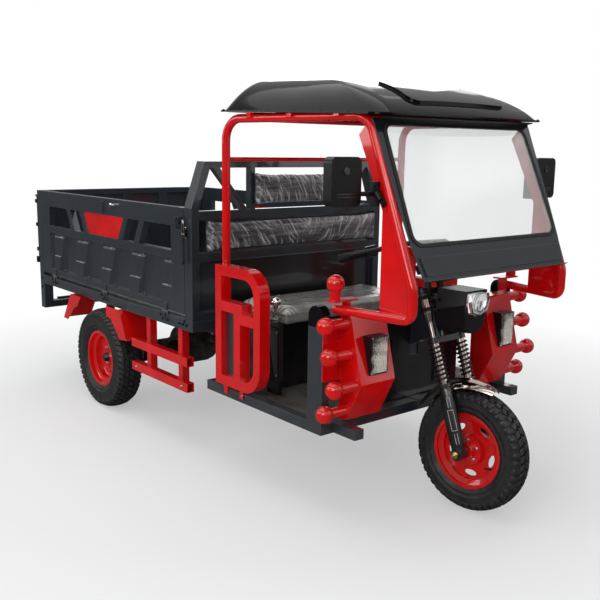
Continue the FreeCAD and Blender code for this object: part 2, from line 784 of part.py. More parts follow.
def shield(shares, x, inset):
    # a seven-sided outline, even about the middle, on a plane across the vehicle
    high = COWL_HIGH - COWL_LOW
    right = [V(x, -COWL_HALF * a, COWL_LOW + high * b) for a, b in shares]
    left = [V(p.x, -p.y, p.z) for p in reversed(right[:-1])]
    outline = Part.makePolygon(right + left + right[:1])
    return Part.Face(outline).makeOffset2D(-inset, 2).OuterWire if inset else outline


def headlamp_cowl():
    # a faceted shell, open behind, with a pointed chin below the lamp
    outer = [shield(COWL_REAR_SHARES, COWL_REAR, 0.0), shield(COWL_FRONT_SHARES, COWL_FRONT, 0.0)]
    inner = [shield(COWL_REAR_SHARES, COWL_REAR, COWL_WALL)]
    inner += [shield(COWL_FRONT_SHARES, COWL_FRONT - COWL_WALL, COWL_WALL)]
    shape = Part.makeLoft(outer, True, True).cut(Part.makeLoft(inner, True, True))
    return steered(fuse([shape.cut(lamp_body(-2 * FIT_GAP))] + cowl_arms()))


def lamp_body(inset):
    back = Part.Face(shield(LAMP_BACK_SHARES, COWL_FRONT - LAMP_DEEP, inset)).extrude(V(LAMP_DEEP, 0,
                                                                                        0))
    edges = [shield(LAMP_BACK_SHARES, COWL_FRONT, inset)]
    edges += [shield(LAMP_FACE_SHARES, COWL_FRONT + LAMP_OUT, inset)]
    return fuse([back, Part.makeLoft(edges, True, True)])


def cowl_arms():
    # flat arms from the cowl's sides back to the fork tubes' clamps
    arms = []
    for share in COWL_ARM_SHARES:
        level = CLAMP_LOW + (CLAMP_HIGH - CLAMP_LOW) * share
        eye = fork_point(level, 0, -FORK_HALF)
        ring = rod(eye, eye.add(V(STEER_UP).multiply(COWL_ARM)), SLEEVE_R + COWL_WALL)
        bar = box(eye.x, COWL_REAR + COWL_ARM, -FORK_HALF - COWL_WALL / 2, -COWL_HALF + COWL_WALL,
                  eye.z + COWL_WALL, eye.z + COWL_ARM)
        low, high = eye.sub(V(STEER_UP).multiply(COWL_ARM)), eye.add(V(STEER_UP).multiply(2 * COWL_ARM))
        arm = fuse([ring, bar]).cut(rod(low, high, SLEEVE_R))
        arms += [arm, left_of(arm)]
    return arms


def headlamp():
    return steered(lamp_body(0.0))


# Chassis, axle, springs
def rails():
    top, low = RAIL_TOP, RAIL_TOP - RAIL_H
    rail = box(RAIL_REAR, CAB_REAR, -RAIL_Y - RAIL_W / 2, -RAIL_Y + RAIL_W / 2, low, top)
    drop = box(CAB_REAR - RAIL_W, CAB_REAR, -RAIL_Y - RAIL_W / 2, -RAIL_Y + RAIL_W / 2, SILL_LOW, top)
    ties = [box(x, x + BEARER_W, -RAIL_Y, RAIL_Y, low, low + BEARER_W) for x in tie_places()]
    return [rail, left_of(rail), drop, left_of(drop)] + ties


def tie_places():
    length = CAB_REAR - RAIL_REAR
    return [RAIL_REAR + length * share for share in TIE_SHARES]


def cab_base():
    low, top = SILL_LOW, SILL_LOW + SILL_H
    sill = box(CAB_REAR, CAB_FRONT, -SILL_HALF, -SILL_HALF + SILL_W, low, top)
    inner = box(CAB_REAR, STUB_FRONT, -INNER_Y - INNER_W / 2, -INNER_Y + INNER_W / 2, low,
                top - FLOOR_T)
    rear = box(CAB_REAR, CAB_REAR + SILL_W, -SILL_HALF, SILL_HALF, low, top)
    front = box(CAB_FRONT - SILL_W, CAB_FRONT, -SILL_HALF, SILL_HALF, low, top)
    post = box(CAB_FRONT - POST_FRONT_W, CAB_FRONT, -SILL_HALF, -SILL_HALF + POST_FRONT_T, top,
               POST_FRONT_TOP)
    return [sill, left_of(sill), inner, left_of(inner), rear, front, post, left_of(post)]


def neck():
    floor = SILL_LOW + SILL_H
    column = box(NECK_FRONT - NECK_D, NECK_FRONT, -NECK_W / 2, NECK_W / 2, floor, SHIELD_TOP)
    head_low = fork_point(CLAMP_LOW + CLAMP_T + HEAD_PLAY, -FORK_OFFSET, 0)
    head_top = fork_point(CLAMP_HIGH - HEAD_PLAY, -FORK_OFFSET, 0)
    head = rod(head_low, head_top, HEAD_R)
    gusset = side_prism([(NECK_FRONT, GUSSET_LOW), (head_low.x, head_low.z), (head_top.x, head_top.z),
                         (NECK_FRONT, SHIELD_TOP)], -GUSSET_W, GUSSET_W)
    foot = box(NECK_FRONT - NECK_D, CAB_FRONT, -NECK_W / 2, NECK_W / 2, floor - FLOOR_T,
               floor + FLOOR_T)
    bore = rod(head_low.sub(STEER_UP), head_top.add(STEER_UP), STEM_R + FIT_GAP)
    trim_low = rod(head_low, head_low.sub(V(STEER_UP).multiply(NECK_D)), 2 * NECK_D)
    trim_top = rod(head_top, head_top.add(V(STEER_UP).multiply(NECK_D)), 2 * NECK_D)
    return fuse([column, head, gusset.cut(trim_low).cut(trim_top), foot]).cut(bore)


def chassis_frame():
    shape = fuse(rails() + cab_base() + [neck()])
    return shape


def floor_plate():
    top = SILL_LOW + SILL_H
    inside = SILL_HALF - SILL_W - SEAT_GAP
    plate = box(CAB_REAR + SILL_W + SEAT_GAP, CAB_FRONT - SILL_W - SEAT_GAP, -inside, inside,
                top - FLOOR_T + SEAT_GAP, top)
    neck_hole = box(NECK_FRONT - NECK_D - SEAT_GAP, CAB_FRONT, -NECK_W / 2 - SEAT_GAP,
                    NECK_W / 2 + SEAT_GAP, SILL_LOW, top + FLOOR_T)
    return plate.cut(neck_hole)


def leg_shield():
    floor = SILL_LOW + SILL_H + SEAT_GAP
    x0 = NECK_FRONT + SEAT_GAP
    points = [(-SHIELD_HALF, floor), (SHIELD_HALF, floor), (SHIELD_HALF, SHIELD_SIDE_TOP),
              (SHIELD_HALF / 2, SHIELD_TOP), (-SHIELD_HALF / 2, SHIELD_TOP), (-SHIELD_HALF,
                                                                              SHIELD_SIDE_TOP)]
    plate = front_prism(points, x0, x0 + SHIELD_T)
    ribs = []
    for share in SHIELD_RIB_SHARES:
        y = SHIELD_HALF * share
        ribs.append(box(x0, x0 + SHIELD_BULGE, y, y + SHIELD_BULGE, floor + NECK_D,
                        SHIELD_SIDE_TOP - NECK_D))
    gusset = GUSSET_W + SEAT_GAP
    slot = box(NECK_FRONT, CAB_FRONT, -gusset, gusset, GUSSET_LOW - NECK_D, ROOF_LOW)
    foot_slot = box(NECK_FRONT, CAB_FRONT, -NECK_W / 2 - SEAT_GAP, NECK_W / 2 + SEAT_GAP, 0,
                    floor + 2 * FLOOR_T)
    return fuse([plate] + ribs).cut(slot).cut(foot_slot)


def rear_axle():
    z = REAR_TYRE_R
    tube = rod(V(0, -AXLE_HALF, z), V(0, AXLE_HALF, z), AXLE_R)
    stub_end = TRACK_HALF + REAR_HUB_OUT
    stub = rod(V(0, -stub_end - STUB_OUT, z), V(0, stub_end + STUB_OUT, z), STUB_R)
    drum_out = TRACK_HALF - REAR_HUB_IN - HEAD_PLAY
    drum = rod(V(0, -drum_out, z), V(0, -drum_out + DRUM_W, z), DRUM_R)
    nut = rod(V(0, -stub_end - FIT_GAP, z), V(0, -stub_end - STUB_NUT_R, z), STUB_R + STUB_NUT_R / 2)
    belly = rod(V(0, -DIFF_HALF, z), V(0, DIFF_HALF, z), DIFF_R)
    nose = Part.makeCone(DIFF_R * NOSE_SHARE, SHAFT_R * 2, DIFF_R, V(DIFF_R * NOSE_SHARE, 0, z), X)
    shaft_end = V(ENGINE_X - ENGINE_L / 2 - SEAT_GAP, 0, SILL_LOW + SILL_H + ENGINE_H / 3)
    shaft = rod(V(DIFF_R, 0, z), shaft_end, SHAFT_R)
    beam = CAB_REAR - SEAT_GAP
    shaft = shaft.common(box(0, beam, -DIFF_R, DIFF_R, 0, BED_TOP))
    return fuse([tube, stub, drum, left_of(drum), nut, left_of(nut), belly, nose, shaft])


def leaf(n):
    # one leaf as a thin arc, ends up
    half = LEAF_HALF * (LEAF_SHRINK_SHARE ** n)
    rise = LEAF_RISE * (half / LEAF_HALF) ** 2
    z = REAR_TYRE_R + AXLE_R + LEAF_T * (LEAF_COUNT - n) + SEAT_GAP
    arc = Part.Arc(V(-half, 0, z + rise), V(0, 0, z), V(half, 0, z + rise)).toShape()
    low = arc.copy()
    low.translate(V(0, 0, -LEAF_T))
    ends = [Part.makeLine(V(-half, 0, z + rise), V(-half, 0, z + rise - LEAF_T))]
    ends.append(Part.makeLine(V(half, 0, z + rise), V(half, 0, z + rise - LEAF_T)))
    wire = Part.Wire(Part.__sortEdges__([arc, ends[0], low, ends[1]]))
    shape = Part.Face(wire).extrude(V(0, LEAF_W, 0))
    shape.translate(V(0, -RAIL_Y - LEAF_W / 2, 0))
    return shape


def leaf_springs():
    leaves = [leaf(n) for n in range(LEAF_COUNT)]
    z_eye = REAR_TYRE_R + AXLE_R + LEAF_T * LEAF_COUNT + LEAF_RISE
    y0, y1 = -RAIL_Y - LEAF_W / 2, -RAIL_Y + LEAF_W / 2
    parts = list(leaves)
    for x in (-LEAF_HALF, LEAF_HALF):
        parts.append(rod(V(x, y0, z_eye - LEAF_T / 2), V(x, y1, z_eye - LEAF_T / 2), EYE_R))
        parts.append(box(x - HANGER_T, x + HANGER_T, y0, y1, z_eye - LEAF_T / 2,
                         RAIL_TOP - RAIL_H - SEAT_GAP))
    seat_z = REAR_TYRE_R + AXLE_R + SEAT_GAP
    parts.append(box(-LEAF_W, LEAF_W, y0, y1, seat_z, seat_z + LEAF_T * (LEAF_COUNT + 1)))
    return both(fuse(parts))


def engine_block():
    floor = SILL_LOW + SILL_H + SEATBOX_WALL + 2 * SEAT_GAP
    half_l, half_w = ENGINE_L / 2, ENGINE_W / 2
    return box(ENGINE_X - half_l, ENGINE_X + half_l, -half_w, half_w, floor, floor + ENGINE_H)


# Cargo bed
def bed_frame():
    low, top = RAIL_TOP, RAIL_TOP + BEAM_W
    beam = box(BED_REAR, BED_FRONT, -BED_HALF, -BED_HALF + BEAM_W, low, top)
    rear = box(BED_REAR, BED_REAR + BEAM_W, -BED_HALF, BED_HALF, low, top)
    front = box(BED_FRONT - BEAM_W, BED_FRONT, -BED_HALF, BED_HALF, low, top)
    length = BED_FRONT - BED_REAR
    bearers = [box(x, x + BEARER_W, -BED_HALF + BEAM_W, BED_HALF - BEAM_W, low, top - BED_PLATE_T)
               for x in [BED_REAR + length * share for share in BEARER_SHARES]]
    corner = box(BED_REAR, BED_REAR + CORNER_W, -BED_HALF, -BED_HALF + CORNER_W, CORNER_LOW, BED_TOP)
    bar = box(BED_REAR, BED_REAR + CORNER_W, -BED_HALF, BED_HALF, CORNER_LOW, CORNER_LOW + LOW_BAR_H)
    return fuse([beam, left_of(beam), rear, front, corner, left_of(corner), bar] + bearers)


def bed_floor():
    top = RAIL_TOP + BEAM_W + BED_PLATE_T + SEAT_GAP
    inside = BED_HALF - PANEL_T - PANEL_GAP
    plate = box(BED_REAR + PANEL_T + PANEL_GAP, FRONT_POST_X - SEAT_GAP, -inside, inside,
                top - BED_PLATE_T, top)
    corner = box(BED_REAR, BED_REAR + CORNER_W + SEAT_GAP, -BED_HALF, -BED_HALF + CORNER_W + SEAT_GAP,
                 0, BED_TOP)
    return plate.cut(corner).cut(left_of(corner))


def hinge_knuckles(start, length, moving):
    # knuckles along X at the foot of a side panel: the outer two belong to the bed, the middle to the panel
    third = HINGE_L / 3
    parts = []
    for share in HINGE_SHARES:
        x = start + length * share
        spans = [(-third / 2, third / 2)] if moving else [(-third * 1.5, -third / 2 - HINGE_PLAY),
                                                          (third / 2 + HINGE_PLAY, third * 1.5)]
        for a, b in spans:
            parts.append((x + a, x + b))
    return parts


def side_span():
    x0 = BED_REAR + CORNER_W + PANEL_GAP
    x1 = FRONT_POST_X - PANEL_GAP
    return x0, x1


def hinge_line():
    return -BED_HALF - HINGE_R / 2


def bed_hinges():
    x0, x1 = side_span()
    y = hinge_line()
    parts = []
    for a, b in hinge_knuckles(x0, x1 - x0, False):
        parts.append(rod(V(a, y, HINGE_Z), V(b, y, HINGE_Z), HINGE_R))
        parts.append(box(a, b, y - HINGE_R / 4, y + HINGE_R / 2, RAIL_TOP + BEAM_W / 2, HINGE_Z))
    return parts


def divider_places(x0, x1):
    return [x0 + (x1 - x0) * share for share in DIVIDER_SHARES]


def window_band(x0, x1, z0, z1):
    # the five cells of the band; their dividers lean away from the middle cell
    half, lean = DIVIDER_W / 2, DIVIDER_LEAN / 2
    a, b, c, d = divider_places(x0, x1)
    left, right = x0 + SIDE_RAIL, x1 - SIDE_RAIL
    low = [(left, a + lean - half), (a + lean + half, b + lean - half),
           (b + lean + half, c - lean - half),
           (c - lean + half, d - lean - half), (d - lean + half, right)]
    high = [(left, a - lean - half), (a - lean + half, b - lean - half),
            (b - lean + half, c + lean - half),
            (c + lean + half, d + lean - half), (d + lean + half, right)]
    return [[(p, z0), (q, z0), (s, z1), (r, z1)] for (p, q), (r, s) in zip(low, high)]


def stake_edges(x0, n):
    # rear and front edge of a pressed stake, at its top and at its foot
    rear = x0 + STAKE_START + STAKE_PITCH * n
    front = rear + STAKE_W
    return (rear, front), (rear - STAKE_LEAN + STAKE_TAPER, front - STAKE_LEAN)


def valley_cutter(top, foot, z0, z1, out):
    # the sunk field between two stakes, with sloping flanks
    deep, slope = out + STAKE_DEEP, STAKE_FLANK
    wide = slope * (STAKE_DEEP + CUT_MARGIN) / STAKE_DEEP - slope
    y = out - CUT_MARGIN
    outer = [V(foot[0] - wide, y, z0), V(foot[1] + wide, y, z0), V(top[1] + wide, y, z1),
             V(top[0] - wide, y, z1)]
    inner = [V(foot[0] + slope, deep, z0), V(foot[1] - slope, deep, z0), V(top[1] - slope, deep, z1),
             V(top[0] + slope, deep, z1)]
    wires = [Part.makePolygon(points + [points[0]]) for points in (outer, inner)]
    return Part.makeLoft(wires, True, True)


def stake_valleys(x0, x1, z0, z1, out):
    left, right = x0 + SIDE_RAIL, x1 - SIDE_RAIL
    edges = [stake_edges(x0, n) for n in range(STAKE_COUNT)]
    tops = [(left, edges[0][0][0])]
    feet = [(left, max(edges[0][1][0], left + STAKE_W / 2))]
    for before, after in zip(edges, edges[1:]):
        tops.append((before[0][1], after[0][0]))
        feet.append((before[1][1], after[1][0]))
    return [valley_cutter(top, foot, z0, z1, out) for top, foot in zip(tops, feet) if top[1] < right]


def stake_caps(x0, x1, z1, out):
    # wedges off the stake tops, and the step across each stake
    left, right = x0 + SIDE_RAIL, x1 - SIDE_RAIL
    y = out - CUT_MARGIN
    cap = [V(left, y, z1 - STAKE_CAP_H), V(left, out, z1 - STAKE_CAP_H), V(left, out + STAKE_CAP_D, z1),
           V(left, y, z1)]
    step = [V(left, y, STAKE_STEP_Z), V(left, out, STAKE_STEP_Z),
            V(left, out + STAKE_STEP_D, STAKE_STEP_Z + STAKE_STEP_D)]
    step += [V(left, out + STAKE_STEP_D, z1), V(left, y, z1)]
    return [prism([tuple(p) for p in points], V(right - left, 0, 0)) for points in (cap, step)]


def side_panel():
    x0, x1 = side_span()
    out, inn = -BED_HALF, -BED_HALF + PANEL_T
    shape = box(x0, x1, out, inn, PANEL_LOW, BED_TOP)
    for points in window_band(x0, x1, WINDOW_LOW, BED_TOP - TOP_RAIL):
        shape = shape.cut(side_prism(points, out - CUT_MARGIN, inn + CUT_MARGIN))
    z0, z1 = PANEL_LOW + LOW_RAIL, MID_LOW
    for cutter in stake_valleys(x0, x1, z0, z1, out) + stake_caps(x0, x1, z1, out):
        shape = shape.cut(cutter)
    hollow = box(x0 + SIDE_RAIL, x1 - SIDE_RAIL, out + STAKE_DEEP + PANEL_SKIN, inn + CUT_MARGIN, z0,
                 z1)
    return shape.cut(hollow)


def side_panel_right():
    x0, x1 = side_span()
    y = hinge_line()
    shape = side_panel()
    parts = [shape]
    for a, b in hinge_knuckles(x0, x1 - x0, True):
        parts.append(rod(V(a, y, HINGE_Z), V(b, y, HINGE_Z), HINGE_R))
        parts.append(box(a, b, y - HINGE_R / 4, y + HINGE_R / 2, HINGE_Z, PANEL_LOW + LOW_RAIL))
    x_mid = (x0 + x1) / 2
    latch = box(x_mid - LATCH_W / 2, x_mid + LATCH_W / 2, -BED_HALF - LATCH_T, -BED_HALF,
                BED_TOP - TOP_RAIL + LATCH_T, BED_TOP - TOP_RAIL + LATCH_H)
    parts.append(latch)
    return fuse(parts)


def side_trim():
    # the painted plate in the middle of the window band
    x0, x1 = side_span()
    middle = window_band(x0, x1, WINDOW_LOW, BED_TOP - TOP_RAIL)[2]
    gap = SEAT_GAP
    (ax, az), (bx, bz), (cx, cz), (dx, dz) = middle
    points = [(ax + gap, az + gap), (bx - gap, bz + gap), (cx - gap, cz - gap), (dx + gap, dz - gap)]
    return side_prism(points, -BED_HALF + TRIM_IN, -BED_HALF + TRIM_IN + PANEL_SKIN)


def tailgate():
    x0 = BED_REAR
    y1 = BED_HALF - CORNER_W - PANEL_GAP
    gate = box(x0, x0 + PANEL_T, -y1, y1, PANEL_LOW, BED_TOP)
    z0, z1 = PANEL_LOW + LOW_RAIL, BED_TOP - LOW_RAIL
    field = box(x0 - CUT_MARGIN, x0 + GATE_DEEP, -y1 + GATE_RAIL, y1 - GATE_RAIL, z0, z1)
    hollow = box(x0 + GATE_DEEP + PANEL_SKIN, x0 + PANEL_T + CUT_MARGIN, -y1 + GATE_RAIL,
                 y1 - GATE_RAIL, z0, z1)
    gate = gate.cut(field).cut(hollow)
    parts = [gate]
    for share in GATE_RIB_SHARES:
        y = -y1 + 2 * y1 * share
        parts.append(box(x0, x0 + PANEL_T, y - GATE_RAIL / 2, y + GATE_RAIL / 2, z0, z1))
    line_x = x0 - HINGE_R / 2
    for a, b in hinge_knuckles(-y1, 2 * y1, True):
        parts.append(rod(V(line_x, a, HINGE_Z), V(line_x, b, HINGE_Z), HINGE_R))
        parts.append(box(line_x - HINGE_R / 4, line_x + HINGE_R / 2, a, b, HINGE_Z,
                         PANEL_LOW + LOW_RAIL))
    return fuse(parts)


def gate_hinges():
    y1 = BED_HALF - CORNER_W - PANEL_GAP
    line_x = BED_REAR - HINGE_R / 2
    parts = []
    for a, b in hinge_knuckles(-y1, 2 * y1, False):
        parts.append(rod(V(line_x, a, HINGE_Z), V(line_x, b, HINGE_Z), HINGE_R))
        parts.append(box(line_x - HINGE_R / 4, line_x + HINGE_R / 2, a, b, RAIL_TOP + BEAM_W / 2,
                         HINGE_Z))
    return parts


def whole_bed_frame():
    side = bed_hinges()
    return fuse([bed_frame()] + side + [left_of(part) for part in side] + gate_hinges())


def headboard():
    x0, x1 = FRONT_POST_X, HEAD_X
    low = RAIL_TOP + BEAM_W + SEAT_GAP
    out, top_out = BED_HALF, HEAD_TOP_HALF
    post = front_prism([(-out, low), (-out + HEAD_POST, low), (-out + HEAD_POST, BED_TOP),
                        (-top_out + HEAD_POST, HEAD_TOP), (-top_out, HEAD_TOP), (-out,
                                                                                 BED_TOP)], x0, x1)
    thin0 = x1 - HEAD_T
    rail = box(thin0, x1, -top_out, top_out, HEAD_TOP - HEAD_BAR, HEAD_TOP)
    inside = out - HEAD_POST / 2
    mid = box(thin0, x1, -inside, inside, HEAD_MID - HEAD_MID_H / 2, HEAD_MID + HEAD_MID_H / 2)
    lower = box(thin0, x1, -inside, inside, HEAD_LOW - HEAD_MID_H / 2, HEAD_LOW + HEAD_MID_H / 2)
    base = box(thin0, x1, -inside, inside, low, low + HEAD_MID_H)
    brace = front_prism([(-top_out + HEAD_POST / 2, HEAD_TOP), (-top_out + HEAD_POST * 1.5, HEAD_TOP),
                         (-BRACE_Y + HEAD_BAR / 2, HEAD_MID), (-BRACE_Y - HEAD_BAR / 2,
                                                               HEAD_MID)], thin0, x1)
    upright = box(thin0, x1, -BRACE_Y + HEAD_BAR / 2, -BRACE_Y + HEAD_BAR * 1.5, HEAD_MID, HEAD_TOP)
    plate = box(thin0, thin0 + HEAD_PANEL_T, -inside, inside, low, HEAD_MID)
    parts = [post, brace, upright]
    parts += [left_of(part) for part in parts]
    return fuse(parts + [rail, mid, lower, base, plate])


# Seat and pads
def seat_box():
    # a closed box of sheet over the frame's drop, with the engine inside
    w, floor, top = SEATBOX_WALL, SILL_LOW + SILL_H + SEAT_GAP, SEAT_TOP - SEAT_T
    step_x, step_z = CAB_REAR + SEAT_GAP, RAIL_TOP + SEAT_GAP
    outer = [(step_x, floor), (SEATBOX_FRONT, floor), (SEATBOX_FRONT, top), (SEATBOX_REAR, top),
             (SEATBOX_REAR, step_z), (step_x, step_z)]
    inner = [(step_x + w, floor + w), (SEATBOX_FRONT - w, floor + w), (SEATBOX_FRONT - w, top - w),
             (SEATBOX_REAR + w, top - w), (SEATBOX_REAR + w, step_z + w), (step_x + w, step_z + w)]
    shape = side_prism(outer, -SEATBOX_HALF, SEATBOX_HALF)
    shape = shape.cut(side_prism(inner, -SEATBOX_HALF + w, SEATBOX_HALF - w))
    hatch = box(SEATBOX_FRONT, SEATBOX_FRONT + w, -HATCH_HALF, HATCH_HALF, floor + HATCH_EDGE,
                top - HATCH_EDGE)
    return fuse([shape, hatch])


def seat_cushion():
    low = SEAT_TOP - SEAT_T + SEAT_GAP
    return box(SEAT_REAR, SEAT_FRONT, -SEAT_HALF, SEAT_HALF, low, SEAT_TOP)


def seat_back_panel():
    low = SEAT_TOP - SEAT_T
    return box(HEAD_X + SEAT_GAP, HEAD_X + 4 * SEATBOX_WALL, -SEAT_HALF, SEAT_HALF, low,
               HEAD_LOW - HEAD_MID_H / 2)


def backrest_pads():
    x0 = HEAD_X + SEAT_GAP
    lower = box(x0, x0 + BACK_T, -LOWER_PAD_HALF, LOWER_PAD_HALF, LOWER_PAD_LOW, LOWER_PAD_HIGH)
    upper = box(x0, x0 + BACK_T, -UPPER_PAD_HALF, UPPER_PAD_HALF, UPPER_PAD_LOW, UPPER_PAD_HIGH)
    return Part.makeCompound([lower, upper])


# Cab frame
def cab_side():
    floor = SILL_LOW + SILL_H + SEAT_GAP
    pillar_top = V(PILLAR_TOP_X, -PILLAR_Y, CAB_TOP)
    points = [V(CAB_POST_X, -CAB_POST_Y, floor), V(CAB_POST_X, -CAB_POST_Y, CAB_TOP), pillar_top,
              V(PILLAR_LOW_X, -PILLAR_Y, PILLAR_LOW_Z), V(PILLAR_LOW_X, -PILLAR_Y, LOOP_Z),
              V(LOOP_REAR, -LOOP_REAR_Y, LOOP_Z)]
    return pipe(points, [BEND_TOP, BEND_TOP, BEND_LOW, BEND_LOW / 2], TUBE_CAB_R)


def pillar_plate():
    # sheet between the leaning pillar and the loop's rear edge
    run_x = PILLAR_LOW_X - PILLAR_TOP_X
    run_z = CAB_TOP - PILLAR_LOW_Z
    a, b = PILLAR_PLATE_SHARES
    high = (PILLAR_TOP_X + run_x * a, CAB_TOP - run_z * a)
    bend = (PILLAR_TOP_X + run_x * b, CAB_TOP - run_z * b)
    points = [high, (PILLAR_LOW_X, PILLAR_LOW_Z), (PILLAR_LOW_X, LOOP_Z + BEND_LOW / 2),
              (PILLAR_LOW_X - BEND_LOW / 2, LOOP_Z),
              (PILLAR_PLATE_X, LOOP_Z), (PILLAR_PLATE_X, bend[1]), (high[0] - PILLAR_PLATE_W,
                                                                    high[1] - PILLAR_PLATE_W)]
    return side_prism(points, -PILLAR_Y - PILLAR_PLATE_T / 2, -PILLAR_Y + PILLAR_PLATE_T / 2)


def cab_frame():
    side = fuse([cab_side(), pillar_plate()])
    rear = rod(V(CAB_POST_X, -CAB_POST_Y, CROSS_Z), V(CAB_POST_X, CAB_POST_Y, CROSS_Z), CROSS_R)
    top_rear = rod(V(CAB_POST_X + BEND_TOP, -CAB_POST_Y, CAB_TOP),
                   V(CAB_POST_X + BEND_TOP, CAB_POST_Y, CAB_TOP), ROOF_TUBE_R)
    top_front = rod(V(PILLAR_TOP_X - BEND_TOP, -PILLAR_Y, CAB_TOP),
                    V(PILLAR_TOP_X - BEND_TOP, PILLAR_Y, CAB_TOP), ROOF_TUBE_R)
    return fuse([side, left_of(side), rear, top_rear, top_front] + roof_brackets())


def roof_half(x):
    along = (x - ROOF_REAR) / (ROOF_FRONT - ROOF_REAR)
    return ROOF_REAR_HALF - (ROOF_REAR_HALF - ROOF_FRONT_HALF) * along


def roof_brackets():
    # tongues from the top tubes out to the roof's rim
    parts = []
    fall = math.tan(math.radians(ROOF_TILT_DEG))
    for share in ROOF_BRACKET_SHARES:
        x = CAB_POST_X + (PILLAR_TOP_X - CAB_POST_X) * share
        low = ROOF_LOW + ((ROOF_REAR + ROOF_FRONT) / 2 - x - ROOF_BRACKET_W) * fall
        top = low - ROOF_RIM_T / 2 - SEAT_GAP
        tube_y = CAB_POST_Y + (PILLAR_Y - CAB_POST_Y) * share
        bracket = box(x, x + ROOF_BRACKET_W, -roof_half(x) + ROOF_WALL, -tube_y, CAB_TOP, top)
        parts += [bracket, left_of(bracket)]
    return parts


# Roof, built level and tilted down towards the front
def roof_plate(z, rear, side, front, corner):
    # a plan of the roof, let in from its edges: straight rear and sides, a bowed front
    x0, x1 = ROOF_REAR + rear, ROOF_FRONT - front
    y0, y1 = roof_half(x0) - side, roof_half(x1 - ROOF_BOW) - side
    a, b = V(x0, -y0, z), V(x1 - ROOF_BOW, -y1, z)
    c, d = V(b.x, y1, z), V(x0, y0, z)
    bow = Part.Arc(b, V(x1, 0, z), c).toShape()
    edges = [Part.makeLine(a, b), bow, Part.makeLine(c, d), Part.makeLine(d, a)]
    plate = Part.Face(Part.Wire(edges)).extrude(V(0, 0, ROOF_RIM_T))
    return plate.makeFillet(corner, upright_edges(plate))


def foot_wire(plate):
    return min(plate.Faces, key=lambda face: face.CenterOfMass.z).OuterWire


def roof_dome(inset):
    # a moulded dome: steep and round behind and at the sides, a long fall to the front
    edge = ROOF_FLANGE + inset
    wires = []
    for height, rear, side, front, corner in ROOF_LEVEL_SHARES:
        z = ROOF_LOW + (ROOF_HIGH - ROOF_LOW) * height - inset
        plate = roof_plate(z, edge + ROOF_REAR_RUN * rear, edge + ROOF_SIDE_RUN * side,
                           edge + ROOF_FRONT_RUN * front, ROOF_CORNER * corner - inset)
        wires.append(foot_wire(plate))
    return Part.makeLoft(wires, True, False)


def roof_brow():
    # the raised field in the middle of the front fall
    points = [V(BROW_REAR, -BROW_REAR_HALF, ROOF_LOW), V(BROW_FRONT, -BROW_FRONT_HALF, ROOF_LOW)]
    points += [V(BROW_FRONT, BROW_FRONT_HALF, ROOF_LOW), V(BROW_REAR, BROW_REAR_HALF, ROOF_LOW)]
    field = prism_of(points, V(0, 0, ROOF_HIGH - ROOF_LOW))
    field = field.makeFillet(BROW_CORNER, upright_edges(field))
    return roof_dome(-BROW_T).common(field)


def roof_tilted(shape):
    shape = shape.copy()
    shape.rotate(V((ROOF_REAR + ROOF_FRONT) / 2, 0, ROOF_LOW), Y, ROOF_TILT_DEG)
    return shape


def roof():
    # the rim is a flat flange round the dome
    rim = roof_plate(ROOF_LOW - ROOF_RIM_T / 2, 0, 0, 0, ROOF_CORNER)
    edge = ROOF_FLANGE + ROOF_WALL
    below = roof_plate(ROOF_LOW - ROOF_RIM_T, edge, edge, edge, ROOF_CORNER - ROOF_WALL)
    shape = fuse([roof_dome(0), rim, roof_brow()])
    return roof_tilted(shape.cut(roof_dome(ROOF_WALL)).cut(below))


# Windscreen, built flat and leaned
def screen_lean():
    return math.degrees(math.atan2(SCREEN_LOW_X - SCREEN_TOP_X, SCREEN_TOP_Z - SCREEN_LOW_Z))


def screen_length():
    return math.hypot(SCREEN_LOW_X - SCREEN_TOP_X, SCREEN_TOP_Z - SCREEN_LOW_Z)


def screen_plate(grow, thick, corner):
    # a rounded plate standing at the screen's foot, along Z, then leaned back
    high = screen_length()
    low_half, top_half = SCREEN_LOW_HALF + grow, SCREEN_TOP_HALF + grow
    shape = prism([(0, -low_half, -grow), (0, low_half, -grow), (0, top_half, high + grow),
                   (0, -top_half, high + grow)], V(thick, 0, 0))
    return shape.makeFillet(corner, edges_along(shape, X))


def leaned(shape):
    shape = shape.copy()
    shape.rotate(ORIGIN, Y, -screen_lean())
    shape.translate(V(SCREEN_LOW_X, 0, SCREEN_LOW_Z))
    return shape


def windscreen_glass():
    plate = screen_plate(-SEAL_W / 2 - SEAT_GAP, GLASS_T, SCREEN_CORNER)
    plate.translate(V((SEAL_T - GLASS_T) / 2, 0, 0))
    return leaned(plate)


def windscreen_seal():
    outer = screen_plate(0.0, SEAL_T, SCREEN_CORNER + SEAL_W / 2)
    window = screen_plate(-SEAL_W, SEAL_T, SCREEN_CORNER - SEAL_W / 2)
    groove = screen_plate(-SEAL_W / 2, GLASS_T + 2 * SEAT_GAP, SCREEN_CORNER)
    groove.translate(V((SEAL_T - GLASS_T) / 2 - SEAT_GAP, 0, 0))
    return leaned(outer.cut(window).cut(groove))


def screen_frame():
    # grey frame of sheet between the pillars that carries the seal
    high = screen_length()
    wide = SCREEN_LOW_HALF + SEAL_W / 2
    top = PILLAR_Y - TUBE_CAB_R - SEAT_GAP
    fall = nose_fall()
    points = [(0, -NOSE_HALF, -fall), (0, NOSE_HALF, -fall), (0, wide, 0), (0, top, high + SEAL_W)]
    points += [(0, -top, high + SEAL_W), (0, -wide, 0)]
    plate = prism(points, V(NOSE_T, 0, 0))
    plate.translate(V((SEAL_T - NOSE_T) / 2, 0, 0))
    return plate


def nose_fall():
    return math.hypot(NOSE_LOW_X - SCREEN_LOW_X, SCREEN_LOW_Z - NOSE_LOW_Z)


